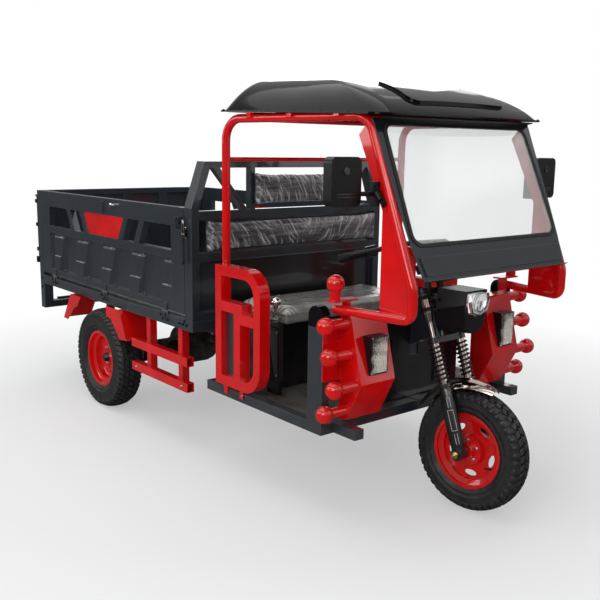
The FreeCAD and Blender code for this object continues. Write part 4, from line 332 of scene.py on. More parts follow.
# Roof
# One moulding of black plastic, vacuum formed and very glossy, screwed to the cab through its flat rim.
# Its skin is slightly uneven, so lights run in soft wavering bands over it.
def moulded_plastic(name, colour, roughness, grain=0.0, grain_scale=900.0, coat=0.0, wave=0.0,
                    dust=0.15, sheen=0.3):
    material, tree = new_material(name)
    edges = place_group(tree, edge_group, {"Radius": 0.0025, "Width": 0.003})
    settled = place_group(tree, dust_group, {"Upward": dust, "Low": dust})
    fine = speckle(tree, grain_scale, 2.0)
    slow = speckle(tree, 3.2, 1.0)
    pebble = bumped(tree, fine, grain, 0.0003, edges.outputs["Normal"])
    bend = bumped(tree, slow, wave, 0.012, pebble)
    tone = ramp(tree, slow, 0.3, 0.7, 0.85, 1.15)
    shade = node(tree, "VectorMath", {0: colour, "Scale": tone}, operation="SCALE")
    mixed = blend(tree, settled.outputs["Dust"], shade.outputs[0], (0.22, 0.2, 0.18))
    rough = ramp(tree, fine, 0.3, 0.7, roughness * 0.8, roughness * 1.2)
    principled(tree, {"Coat Weight": coat, "Coat Roughness": 0.03, "Specular IOR Level": sheen,
                      "Base Color": mixed, "Roughness": rough, "Normal": bend})
    return material


roof_plastic = moulded_plastic("gloss_roof_plastic", (0.003, 0.003, 0.004), 0.07, coat=0.10, wave=0.35,
                               dust=0.02, sheen=0.08)
cowl_plastic = moulded_plastic("satin_black_plastic", (0.006, 0.006, 0.007), 0.30, grain=0.35, dust=0.06)
rubber_seal = moulded_plastic("seal_rubber", (0.010, 0.010, 0.010), 0.52, grain=0.5, grain_scale=600.0)
dress(roof_plastic, "roof", "post_caps")
dress(cowl_plastic, "mirrors", "headlamp_cowl", "controls")
dress(grey_paint, "guard_panels")
dress(rubber_seal, "grips")


# Shared making of new pieces
# Rods, blocks, turned forms, lofts and bolts are built here for the sections below. Every new piece
# has doubled points merged and faces turned outward, is given its material and hung on its body in the same
# way.
def set_piece(bm, name, material, body="vehicle", smooth=True, replaced=()):
    # replaced names the CAD pieces that the new one stands for; edges over 38 degrees stay sharp
    bmesh.ops.remove_doubles(bm, verts=bm.verts, dist=0.00002)
    bmesh.ops.recalc_face_normals(bm, faces=bm.faces)
    mesh = bpy.data.meshes.new(name)
    bm.to_mesh(mesh)
    bm.free()
    for face in mesh.polygons:
        face.use_smooth = smooth
    if smooth:
        mesh.set_sharp_from_angle(angle=math.radians(38))
    mesh.materials.append(material)
    piece = bpy.data.objects.new(name, mesh)
    bpy.context.collection.objects.link(piece)
    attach(piece, body)
    for replaced_node in replaced:
        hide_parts(replaced_node)
    return piece


def turned(place, angle, axis):
    return Matrix.Translation(place) @ Matrix.Rotation(angle, 4, axis)


def round_edges(bm, edges, offset, segments=1):
    bmesh.ops.bevel(bm, geom=list(edges), offset=offset, segments=segments, affect="EDGES", profile=0.5,
                    material=-1)


def add_ball(bm, place, radius, around=10, upward=6):
    bmesh.ops.create_uvsphere(bm, u_segments=around, v_segments=upward, radius=radius,
                              matrix=Matrix.Translation(place))


def add_rod(bm, start, end, radius, segments=12, radius_end=None):
    # a turned bar between two points
    start, end = Vector(start), Vector(end)
    way = end - start
    turn = way.to_track_quat("Z", "Y").to_matrix().to_4x4()
    place = Matrix.Translation((start + end) / 2) @ turn
    return bmesh.ops.create_cone(bm, cap_ends=True, segments=segments, radius1=radius,
                                 radius2=radius if radius_end is None else radius_end, depth=way.length,
                                 matrix=place)["verts"]


def add_block(bm, low, high, round_by=0.0, segments=1):
    # a bar or plate given by two opposite corners, its edges rounded
    low, high = Vector([*map(min, low, high)]), Vector([*map(max, low, high)])
    size = high - low
    place = Matrix.Translation((low + high) / 2) @ Matrix.Diagonal((*size, 1.0))
    verts = bmesh.ops.create_cube(bm, size=1.0, matrix=place)["verts"]
    if round_by:
        round_edges(bm, {e for v in verts for e in v.link_edges}, round_by, segments)
    return verts


def add_frame(bm, x_low, x_high, outer, inner, round_by):
    # four blocks round an opening; outer and inner give the low and high y and z of its edges
    (y_low, y_high, z_low, z_high), (y_first, y_last, z_first, z_last) = outer, inner
    add_block(bm, (x_low, y_low, z_low), (x_high, y_high, z_first), round_by)
    add_block(bm, (x_low, y_low, z_last), (x_high, y_high, z_high), round_by)
    add_block(bm, (x_low, y_low, z_low), (x_high, y_first, z_high), round_by)
    add_block(bm, (x_low, y_last, z_low), (x_high, y_high, z_high), round_by)


def add_turned(bm, profile, place, steps):
    # a profile of (radius, along) points spun about the local Y axis and set in place
    verts = [bm.verts.new(place @ Vector((r, y, 0.0))) for r, y in profile]
    edges = [bm.edges.new((verts[n], verts[(n + 1) % len(verts)])) for n in range(len(verts))]
    axis = (place.to_3x3() @ Vector((0.0, 1.0, 0.0))).normalized()
    bmesh.ops.spin(bm, geom=verts + edges, cent=place.translation, axis=axis, angle=math.tau, steps=steps,
                   use_merge=True)


def add_outline_loft(bm, outlines, cap_first=True, cap_last=True):
    # a skin stretched from one closed outline to the next
    loops = [[bm.verts.new(point) for point in outline] for outline in outlines]
    edges = [[bm.edges.new((loop[n], loop[(n + 1) % len(loop)])) for n in range(len(loop))] for loop in loops]
    for first, last in zip(edges, edges[1:]):
        bmesh.ops.bridge_loops(bm, edges=first + last)
    if cap_first:
        bm.faces.new(loops[0])
    if cap_last:
        bm.faces.new(loops[-1])


def add_bolt(bm, foot, way, across, high):
    # a hexagon head on its washer
    foot, way = Vector(foot), Vector(way).normalized()
    add_rod(bm, foot, foot + way * high * 0.25, across * 0.72, 16)
    head = add_rod(bm, foot + way * high * 0.25, foot + way * high, across * 0.56, 6)
    top = [e for e in {e for v in head for e in v.link_edges}
           if all((v.co - foot).dot(way) > high * 0.9 for v in e.verts)]
    round_edges(bm, top, across * 0.06)


# Bright metal
# Bolts and nuts are zinc plated or blackened. The fork tubes and the front mudguard are chromed with a
# brownish cast, and bare bright steel is laid on the stakes as a painted glint.
def plated_metal(name, colour, roughness, spots=0.0, scale=60.0):
    material, tree = new_material(name)
    edges = place_group(tree, edge_group, {"Radius": 0.0012, "Width": 0.002})
    cloud = speckle(tree, scale, 6.0, Roughness=0.6)
    slow = speckle(tree, scale * 0.18, 2.0)
    spot = ramp(tree, cloud, 0.6, 0.72, 0.0, spots)
    mixed = blend(tree, spot, colour, (0.16, 0.1, 0.06))
    rough = ramp(tree, cloud, 0.3, 0.7, roughness * 0.6, roughness * 1.5)
    bump = bumped(tree, slow, 0.12, 0.002, edges.outputs["Normal"])
    principled(tree, {"Metallic": 1.0, "Base Color": mixed, "Roughness": rough, "Normal": bump})
    return material


zinc = plated_metal("zinc_plate", (0.62, 0.62, 0.60), 0.28, 0.3, 220.0)
brass_plate = plated_metal("yellow_zinc_plate", (0.74, 0.56, 0.26), 0.28, 0.3, 220.0)
chrome = plated_metal("chrome", (0.78, 0.77, 0.76), 0.06)
brown_chrome = plated_metal("brownish_chrome", (0.50, 0.43, 0.385), 0.12, 0.35, 26.0)
black_oxide = plated_metal("black_oxide", (0.06, 0.06, 0.065), 0.36, 0.2, 160.0)
# bright steel for the painted glints on the stakes
glint_steel = plated_metal("glint_standin_steel", (0.34, 0.36, 0.38), 0.34, 0.3, 120.0)


# Tyres
# Black rubber on 12-inch rims. The front one is a block tread with notched shoulder lugs; the wider
# rear ones have ribs cut by slanted grooves. Moulding rings and a rim guard run round the sidewalls.
def tyre_rubber(name, colour):
    material, tree = new_material(name)
    settled = place_group(tree, dust_group, {"Scale": 30.0, "Upward": 0.35, "Low": 0.30})
    fine = speckle(tree, 900.0, 2.0)
    slow = speckle(tree, 16.0, 5.0)
    bump = bumped(tree, fine, 0.35, 0.0004)
    tone = ramp(tree, slow, 0.3, 0.7, 0.75, 1.3)
    shade = node(tree, "VectorMath", {0: colour, "Scale": tone}, operation="SCALE")
    mixed = blend(tree, settled.outputs["Dust"], shade.outputs[0], (0.1, 0.09, 0.08))
    rough = ramp(tree, slow, 0.3, 0.7, 0.42, 0.66)
    principled(tree, {"Specular IOR Level": 0.45, "Base Color": mixed, "Roughness": rough, "Normal": bump})
    return material


def add_lugs(bm, place, count, radius, low, high, length, tall, start, skew=0.0, droop=0.0):
    # a ring of bevelled rubber blocks between two points across the tread
    block = bmesh.new()
    add_block(block, (-length / 2, low, -tall), (length / 2, high, tall * 0.2), min(length, tall) * 0.13)
    for v in block.verts:
        share = (v.co.y - low) / (high - low)
        v.co.x += skew * (share - 0.5)
        v.co.z -= droop * share
    lug = bpy.data.meshes.new("lug")
    block.to_mesh(lug)
    block.free()
    for n in range(count):
        spun = Matrix.Rotation(math.tau * (n + start) / count, 4, "Y")
        turn = place @ spun @ Matrix.Translation((0, 0, radius))
        lug.transform(turn)
        bm.from_mesh(lug)
        lug.transform(turn.inverted())
    bpy.data.meshes.remove(lug)


def make_tyre(name, body, replaced, place, radius, half, rim_half, lug_rows):
    bm = bmesh.new()
    bead, tread = 0.1545, radius - 0.009
    flank = [(bead, rim_half * 0.80), (bead + 0.010, rim_half + 0.0035), (0.174, rim_half + 0.006),
             (0.178, rim_half + 0.010), (0.181, rim_half + 0.0085), (0.190, half * 0.93),
             (0.196, half * 0.985), (0.198, half), (0.2005, half), (0.2025, half * 0.985),
             (0.212, half * 0.995), (0.224 if radius > 0.27 else 0.216, half * 0.975),
             (tread - 0.026, half * 0.955), (tread - 0.023, half * 0.975), (tread - 0.020, half * 0.945),
             (tread - 0.010, half * 0.86), (tread - 0.003, half * 0.66), (tread, half * 0.34), (tread, 0.0)]
    profile = flank + [(r, -y) for r, y in reversed(flank[:-1])]
    profile += [(bead + 0.004, -rim_half * 0.5), (bead + 0.004, rim_half * 0.5)]
    add_turned(bm, profile, place, 96)
    for row in lug_rows:
        add_lugs(bm, place, **row)
    set_piece(bm, name, rubber, body, replaced=replaced)


rear_axle_x = -0.803


def rear_hub(side):
    return Matrix.Translation((rear_axle_x, 0.566 * side, 0.287))


sides = (("left", 1), ("right", -1))
rubber = tyre_rubber("tyre_rubber", (0.010, 0.010, 0.011))
joints = {joint["name"]: joint for joint in frame["record"]["behaviour"]["joints"]}
fork_up = Vector(joints["steering_turn"]["axis"]).normalized()
spin_axis = Vector(joints["front_wheel_spin"]["axis"]).normalized()
fork_fore = spin_axis.cross(fork_up).normalized()
axle_point = Vector(joints["front_wheel_spin"]["pos_m"])
fork_place = Matrix.Translation(axle_point) @ Matrix((fork_fore, spin_axis, fork_up)).transposed().to_4x4()
front_rows = []
for side in (-1, 1):
    front_rows.append(dict(count=46, radius=0.2508, low=0.033 * side, high=0.0545 * side, length=0.021,
                           tall=0.013, start=0.25 * side, skew=0.006 * side, droop=0.0135))
    front_rows.append(dict(count=46, radius=0.2572, low=0.0125 * side, high=0.0305 * side, length=0.024,
                           tall=0.010, start=0.25 * side + 0.5, skew=-0.009 * side, droop=0.0035))
front_rows.append(dict(count=46, radius=0.2580, low=-0.0095, high=0.0095, length=0.026, tall=0.010, start=0.0,
                       skew=0.012))
make_tyre("block_tread_front_tyre", "front_wheel", ("front_tyre",), fork_place, 0.258, 0.056,
          0.043, front_rows)
for side_name, side in sides:
    rear_rows = []
    for way in (-1, 1):
        rear_rows.append(dict(count=52, radius=0.2795, low=0.046 * way, high=0.0705 * way, length=0.024,
                              tall=0.013, start=0.25 * way, skew=0.008 * way, droop=0.0125))
        rear_rows.append(dict(count=52, radius=0.2862, low=0.0195 * way, high=0.0415 * way, length=0.029,
                              tall=0.010, start=0.25 * way + 0.4, skew=0.012 * way, droop=0.0035))
    rear_rows.append(dict(count=52, radius=0.2870, low=-0.0145, high=0.0145, length=0.029, tall=0.010,
                          start=0.0, skew=0.014))
    make_tyre("ribbed_rear_tyre_" + side_name, "rear_wheel_" + side_name, ("rear_tyre_" + side_name,),
              rear_hub(side), 0.287, 0.072, 0.056, rear_rows)


# Wheel fastenings
# Plated nuts hold the wheels to their hubs, a black valve stem stands in each rim, and the front hub
# carries small bolts round its dome. Each one sits on the pressed steel behind it.
surfaces = {}


def meet(name, origin, way):
    # the point where a line meets a CAD piece, and the way that its face looks there
    if name not in surfaces:
        bm = bmesh.new()
        bm.from_mesh(nodes[name].data)
        surfaces[name] = BVHTree.FromBMesh(bm)
        bm.free()
    place, normal, _, _ = surfaces[name].ray_cast(Vector(origin), Vector(way).normalized())
    if place is None:
        raise ValueError("nothing of %s lies that way" % name)
    return place, normal


def meet_from_side(name, side, x, z):
    well_outside = 1.2 * side
    return meet(name, (x, well_outside, z), (0, -side, 0))


def add_wheel_nuts(bm, name, place, radius, count, start, across, high, way):
    for n in range(count):
        turn = place @ Matrix.Rotation(math.tau * (n + start) / count, 4, "Y")
        origin = turn @ Vector((0.0, 0.16 * way, radius))
        inward = turn.to_3x3() @ Vector((0.0, -way, 0.0))
        spot, _ = meet(name, origin, inward)
        add_bolt(bm, spot, -inward, across, high)


def add_valve(bm, place, radius, way):
    foot = place @ Vector((radius, -0.012 * way, 0.0))
    knee = place @ Vector((radius - 0.006, 0.006 * way, 0.0))
    tip = place @ Vector((radius - 0.016, 0.028 * way, 0.0))
    add_rod(bm, foot, knee, 0.0048, 12, 0.0038)
    add_rod(bm, knee, tip, 0.0034, 12)
    add_rod(bm, tip, tip + (tip - knee).normalized() * 0.008, 0.0042, 8, 0.0034)


bm = bmesh.new()
add_wheel_nuts(bm, "front_rim", fork_place, 0.044, 5, 0.2, 0.011, 0.008, -1)
set_piece(bm, "front_hub_bolts", zinc, "front_wheel", smooth=False)
bm = bmesh.new()
add_valve(bm, fork_place @ Matrix.Rotation(0.9, 4, "Y"), 0.122, -1)
set_piece(bm, "front_valve_stem", rubber_seal, "front_wheel")
for side_name, side in sides:
    wheel = rear_hub(side)
    bm = bmesh.new()
    add_wheel_nuts(bm, "rear_rim_" + side_name, wheel, 0.078, 5, 0.15, 0.021, 0.015, side)
    set_piece(bm, "rear_wheel_nuts_" + side_name, zinc, "rear_wheel_" + side_name, smooth=False)
    bm = bmesh.new()
    cap = [(0.0, 0.034), (0.016, 0.033), (0.023, 0.026), (0.025, 0.014), (0.0285, 0.0095), (0.0, 0.0095)]
    add_turned(bm, [(r, y * side) for r, y in cap], wheel, 32)
    set_piece(bm, "rear_hub_cap_" + side_name, black_oxide, "rear_wheel_" + side_name)
    bm = bmesh.new()
    add_valve(bm, wheel @ Matrix.Rotation(0.7, 4, "Y"), 0.120, side)
    set_piece(bm, "rear_valve_stem_" + side_name, rubber_seal, "rear_wheel_" + side_name)


# Fork springs and covers
# Black coil springs run round bright lower tubes, tapering covers of brownish chrome hide the upper
# tubes, and black covers wrap the lower legs. On each of these a white rectangle is outlined between
# two pairs of short lines.
white_paint = sprayed_paint("white_paint", (0.80, 0.80, 0.80), (0.9, 0.9, 0.9), 0.4, coat=0.3,
                            dust=(0.0, 0.1))
for side_name, side in sides:
    leg = fork_place @ Matrix.Translation((0.0, 0.092 * side, 0.0))
    upright = leg @ Matrix.Rotation(math.radians(90), 4, "X")
    bm = bmesh.new()
    for low, high, foot, tip in ((0.271, 0.706, 0.0138, 0.0138), (0.300, 0.466, 0.0185, 0.0185),
                                 (0.562, 0.600, 0.0142, 0.0222), (0.600, 0.679, 0.0222, 0.0222)):
        add_turned(bm, [(0.0, low), (foot, low), (tip, high), (0.0, high)], upright, 40)
    for level in (0.603, 0.675):
        add_turned(bm, [(0.0222, level), (0.0236, level + 0.002), (0.0236, level + 0.005),
                        (0.0222, level + 0.007)], upright, 40)
    set_piece(bm, "chromed_fork_tube_" + side_name, brown_chrome, "steering", replaced=("fork_tubes",))
    bm = bmesh.new()
    turns, wire, coil, low, high = 8.5, 0.0042, 0.0252, 0.3015, 0.4615
    steps = int(turns * 20)
    ring = bmesh.ops.create_circle(bm, segments=10, radius=wire, cap_ends=True,
                                   matrix=leg @ turned((coil, 0.0, low), math.pi / 2, "X"))
    faces = list({f for v in ring["verts"] for f in v.link_faces})
    bmesh.ops.spin(bm, geom=faces, cent=leg.translation, axis=fork_up, angle=math.tau * turns, steps=steps,
                   dvec=fork_up * (high - low) / steps, use_merge=False, use_duplicate=False)
    set_piece(bm, "fork_coil_spring_" + side_name, cowl_plastic, "steering")
    bm = bmesh.new()
    sections = ((0.004, 0.022, 0.0225, 0.0), (0.012, 0.030, 0.0245, 0.001), (0.060, 0.0335, 0.0245, 0.002),
                (0.200, 0.0335, 0.0245, 0.002), (0.262, 0.0285, 0.0245, 0.001), (0.276, 0.024, 0.0235, 0.0))
    angles = [math.tau * n / 40 for n in range(40)]
    loops = []
    for height, fore, lateral, shift in sections:
        around = [(0.002 + fore * math.cos(a), shift * side + lateral * math.sin(a)) for a in angles]
        loops.append([leg @ Vector((*point, height)) for point in around])
    add_outline_loft(bm, loops)
    set_piece(bm, "lower_leg_cover_" + side_name, black_paint, "steering")
    bm = bmesh.new()
    facing, line = math.radians(58) * side, 0.0016
    strips = []
    for low, high in ((0.196, 0.240), (0.041, 0.086)):
        for turn in (-0.20, 0.20):
            strips.append((turn, low, turn + line / 0.028, high))
    low, high, wide = 0.098, 0.186, 0.40
    strips += [(-wide, low, -wide + line / 0.028, high), (wide - line / 0.028, low, wide, high),
               (-wide, low, wide, low + line), (-wide, high - line, wide, high)]
    for first, bottom, last, top in strips:
        steps = max(1, int((last - first) / 0.08))
        angles = [facing + first + (last - first) * n / steps for n in range(steps + 1)]
        around = [(0.002 + 0.0338 * math.cos(a), 0.002 * side + 0.0248 * math.sin(a)) for a in angles]
        foot, head = [[bm.verts.new(leg @ Vector((*point, z))) for point in around] for z in (bottom, top)]
        rim = [bm.edges.new((foot[n], foot[n + 1])) for n in range(steps)]
        rim += [bm.edges.new((head[n], head[n + 1])) for n in range(steps)]
        bmesh.ops.bridge_loops(bm, edges=rim)
    bmesh.ops.solidify(bm, geom=list(bm.faces), thickness=0.0003)
    set_piece(bm, "white_leg_outline_" + side_name, white_paint, "steering", smooth=False)
    bm = bmesh.new()
    outer = fork_place @ Vector((0.0, 0.125 * side, 0.0))
    add_bolt(bm, outer, spin_axis * side, 0.022, 0.012)
    add_rod(bm, outer + spin_axis * side * 0.012, outer + spin_axis * side * 0.020, 0.0075, 16)
    for height in (0.030, 0.262):
        add_bolt(bm, leg @ Vector((0.0215, 0.0, height)), fork_fore, 0.009, 0.006)
    set_piece(bm, "fork_nuts_" + side_name, brass_plate, "steering", smooth=False)

# the chromed mudguard is swept over the tyre, with a rib along its middle and edges that turn down
bm = bmesh.new()
loops = []
for step in range(29):
    share = step / 28
    angle = math.radians(50 + 78 * share)
    narrow = min(1.0, 0.42 + 1.9 * share) if share < 0.31 else 1.0
    half, ring = 0.066 * narrow, 0.287 + 0.012 * min(1.0, share * 3)
    loop = []
    for n in range(17):
        across = -1 + n / 8
        drop = 0.024 * abs(across) ** 2.6 * narrow + 0.006 * max(0.0, abs(across) - 0.85) / 0.15
        rib = 0.0035 * math.exp(-(across / 0.22) ** 2)
        radius = ring - drop + rib + 0.004
        spot = Vector((radius * math.cos(angle), half * across, radius * math.sin(angle)))
        loop.append(bm.verts.new(fork_place @ spot))
    loops.append(loop)
for first, last in zip(loops, loops[1:]):
    pairs = [pair for loop in (first, last) for pair in zip(loop, loop[1:])]
    edges = [bm.edges.get(pair) or bm.edges.new(pair) for pair in pairs]
    bmesh.ops.bridge_loops(bm, edges=edges)
bmesh.ops.recalc_face_normals(bm, faces=bm.faces)
bmesh.ops.solidify(bm, geom=list(bm.faces), thickness=0.002)
set_piece(bm, "chromed_front_mudguard", brown_chrome, "steering", replaced=("front_mudguard",))
bm = bmesh.new()
route = [(0.070, -0.0675, 0.283), (0.040, -0.0715, 0.286), (0.016, -0.0735, 0.272), (0.008, -0.0730, 0.235),
         (0.010, -0.0728, 0.196)]
for first, last in zip(route, route[1:]):
    add_rod(bm, fork_place @ Vector(first), fork_place @ Vector(last), 0.0030, 10)
for point in route[1:-1]:
    add_ball(bm, fork_place @ Vector(point), 0.0030)
set_piece(bm, "mudguard_wire_stay", chrome, "steering")


# Headlamp
# A clear seven-sided lens over a faceted bright reflector, set in the black cowl. A white line follows
# the lower edges of the lens in a V.
def lamp_glass(name, colour, roughness=0.02, clear=1.0):
    material, tree = new_material(name)
    cloud = speckle(tree, 24.0, 3.0)
    bump = bumped(tree, cloud, 0.08, 0.001)
    rough = ramp(tree, cloud, 0.4, 0.8, roughness, roughness + 0.06)
    principled(tree, {"Base Color": colour, "Transmission Weight": clear, "IOR": 1.45, "Roughness": rough,
                      "Normal": bump})
    return material


clear_lens = lamp_glass("clear_lens", (0.97, 0.98, 0.98))
red_lens = lamp_glass("red_lens", (0.75, 0.01, 0.01), 0.05)
amber_lens = lamp_glass("amber_lens", (0.95, 0.32, 0.02), 0.05)
windscreen = lamp_glass("windscreen_glass", (0.99, 1.0, 1.0), 0.005, 0.78)
steer_point = Vector(joints["steering_turn"]["pos_m"])
steered = turned(steer_point, math.radians(6), fork_up) @ Matrix.Translation(-steer_point)


def lamp_outline(shares, x, inset=0.0):
    # the left half's corners are shares of the lens's half width and height, and the right half mirrors them
    points = [(-0.084 * a, 0.707 + 0.229 * b) for a, b in shares]
    points += [(-y, z) for y, z in reversed(points[:-1])]
    middle = Vector((0.0, 0.875))
    shrunk = [middle + (Vector(p) - middle) * (1 - inset) for p in points]
    return [steered @ Vector((x, y, z)) for y, z in shrunk]


face_shares = ((0.70, 0.95), (0.80, 0.82), (0.60, 0.64), (0.0, 0.57))
back_shares = ((0.80, 0.97), (0.90, 0.80), (0.70, 0.60), (0.0, 0.52))
bm = bmesh.new()
add_outline_loft(bm, [lamp_outline(back_shares, 1.3905), lamp_outline(face_shares, 1.4130)])
round_edges(bm, bm.edges, 0.0022, 2)
set_piece(bm, "headlamp_lens", clear_lens, "steering", replaced=("headlamp",))
bm = bmesh.new()
add_outline_loft(bm, [lamp_outline(back_shares, 1.3895, 0.03), lamp_outline(back_shares, 1.3700, 0.30),
                      lamp_outline(back_shares, 1.3640, 0.62), lamp_outline(back_shares, 1.3620, 0.86)],
                 cap_first=False)
bmesh.ops.solidify(bm, geom=list(bm.faces), thickness=0.0015)
set_piece(bm, "headlamp_reflector", chrome, "steering", smooth=False)
bm = bmesh.new()
for gap in (0.03, 0.16):
    rim = lamp_outline(face_shares, 1.4136, gap)
    for n in range(1, 5):
        add_rod(bm, rim[n], rim[n + 1], 0.0013, 8)
set_piece(bm, "headlamp_white_line", white_paint, "steering")
bm = bmesh.new()
add_rod(bm, steered @ Vector((1.3625, 0.0, 0.878)), steered @ Vector((1.3830, 0.0, 0.878)), 0.010, 20, 0.008)
add_ball(bm, steered @ Vector((1.3840, 0.0, 0.878)), 0.0078, 16, 8)
set_piece(bm, "headlamp_bulb", zinc, "steering")


# Square lamps on the boxes
# Each is a black wedge-shaped housing that brings its face upright on the leaning box, with a bright
# ribbed reflector and a clear ribbed lens.
for side_name, side in sides:
    y_low, y_high = sorted((0.364 * side, 0.460 * side))
    face_x = 1.2706
    middle = Vector((0.0, (y_low + y_high) / 2, 0.700))
    outer = [Vector(corner) for corner in ((1.2595, y_low, 0.6225), (1.2595, y_high, 0.6225),
                                           (1.2198, y_high, 0.7775), (1.2198, y_low, 0.7775))]
    face = [Vector((face_x - 0.003, p.y, p.z)) for p in outer]
    lip = [Vector((p.x, middle.y + (p.y - middle.y) * 0.91, middle.z + (p.z - middle.z) * 0.94))
           for p in face]
    well = [Vector((face_x - 0.012, p.y, p.z)) for p in lip]
    bm = bmesh.new()
    add_outline_loft(bm, [outer, face], cap_last=False)
    add_outline_loft(bm, [face, lip, well], cap_first=False)
    set_piece(bm, "square_lamp_housing_" + side_name, cowl_plastic, smooth=False, replaced=("box_lamps",))
    bm = bmesh.new()
    bmesh.ops.create_grid(bm, x_segments=12, y_segments=16, size=0.5,
                          matrix=turned((face_x - 0.0085, middle.y, 0.700), math.pi / 2, "Y")
                          @ Matrix.Diagonal((0.142, 0.084, 1.0, 1.0)))
    for v in bm.verts:
        across = (v.co.y - middle.y) / 0.042
        v.co.x += 0.0055 * abs(across) ** 2 - 0.002 * math.cos(v.co.z * 420.0)
    set_piece(bm, "square_lamp_reflector_" + side_name, brown_chrome)
    bm = bmesh.new()
    add_block(bm, (face_x - 0.004, y_low + 0.0015, 0.6240), (face_x, y_high - 0.0015, 0.7760), 0.0012, 2)
    for n in range(7):
        y = middle.y + (n - 3) * 0.0118
        add_rod(bm, (face_x - 0.0042, y, 0.630), (face_x - 0.0042, y, 0.770), 0.0018, 8)
    set_piece(bm, "square_lamp_lens_" + side_name, clear_lens)
    bm = bmesh.new()
    for z in (0.628, 0.772):
        for y in (y_low + 0.006, y_high - 0.006):
            add_bolt(bm, (face_x, y, z), (1, 0, 0), 0.0052, 0.0022)
    set_piece(bm, "square_lamp_screws_" + side_name, zinc, smooth=False)


# Windscreen and its panel
# The pressed panel, the rubber seal and the glass open out towards the top until the panel's edges
# meet the pillars.
def opened_out(name, node_name, material):
    widest, half_width = 0.444, 0.474
    bm = bmesh.new()
    bm.from_mesh(nodes[node_name].data)
    for v in bm.verts:
        # the half width gains 22 mm up to 1.15 m high and 18 mm more up to 1.60 m
        low = min(1.0, max(0.0, (v.co.z - 1.03) / 0.12))
        high = max(0.0, (v.co.z - 1.15) / 0.45)
        v.co.y = max(-widest, min(widest, v.co.y)) * (1.0 + (0.022 * low + 0.018 * high) / half_width)
    bmesh.ops.remove_doubles(bm, verts=bm.verts, dist=0.00001)
    bmesh.ops.dissolve_degenerate(bm, edges=bm.edges, dist=0.00001)
    set_piece(bm, name, material, smooth=False, replaced=(node_name,))


# a darker copy of the bed's blue-grey paint: painted shade that offsets the overhead light this leaning panel
# catches
shaded_panel_paint = sprayed_paint("shaded_copy_of_blue_grey_paint", (0.010, 0.014, 0.020), (0.14, 0.18, 0.22), 0.22, coat=0.6,
                            dust=(0.04, 0.06), shine=0.2)
opened_out("pressed_windscreen_panel", "front_panel", shaded_panel_paint)
opened_out("windscreen_rubber", "windscreen_seal", rubber_seal)
opened_out("windscreen", "windscreen_glass", windscreen)
for side_name, side in reversed(sides):
    bm = bmesh.new()
    lower, upper = Vector((1.3540, 0.494 * side, 1.2985)), Vector((1.2950, 0.494 * side, 1.3690))
    along = (upper - lower).normalized()
    wide = Vector((along.z, 0.0, -along.x)) * 0.011
    thick = Vector((0.0, 0.004 * side, 0.0))
    ring = [lower - wide, lower + wide, upper + wide, upper - wide]
    add_outline_loft(bm, [[p - thick for p in ring], [p + thick for p in ring]])
    for share in (0.16, 0.84):
        add_bolt(bm, lower.lerp(upper, share) + thick, (0, side, 0), 0.009, 0.004)
    middle = lower.lerp(upper, 0.5)
    add_rod(bm, middle - along * 0.018 + thick * 2.6, middle + along * 0.018 + thick * 2.6, 0.0085, 16)
    set_piece(bm, "mirror_bracket_" + side_name, cowl_plastic, smooth=False)


# Roof screws and the black band over the windscreen
# Screws go down through the roof's rim all round. A rubber band closes the gap between the
# windscreen's frame and the roof.
down = (0, 0, -1)
bm = bmesh.new()
for side in (-1, 1):
    for n in range(7):
        x = 0.42 + 0.88 * n / 6
        half = 0.5895 - 0.089 * (x - 0.365) / 0.987
        add_bolt(bm, *meet("roof", (x, (half - 0.0055) * side, 1.9), down), 0.0085, 0.0045)
for n in range(5):
    y = -0.38 + 0.19 * n
    x = 1.3458 - 0.024 * (y / 0.45) ** 2
    add_bolt(bm, *meet("roof", (x, y, 1.9), down), 0.0085, 0.0045)
set_piece(bm, "roof_screws", black_oxide, smooth=False)
bm = bmesh.new()
profile = [(1.2550, 1.6020), (1.2610, 1.6045), (1.2880, 1.6260), (1.3200, 1.6300), (1.3200, 1.6255),
           (1.2900, 1.6205), (1.2640, 1.5975)]
add_outline_loft(bm, [[Vector((x - 0.012 * (abs(y) / 0.45) ** 4, y, z - 0.001)) for x, z in profile]
                      for y in (-0.452, -0.30, -0.15, 0.0, 0.15, 0.30, 0.452)])
set_piece(bm, "black_band_over_screen", rubber_seal)


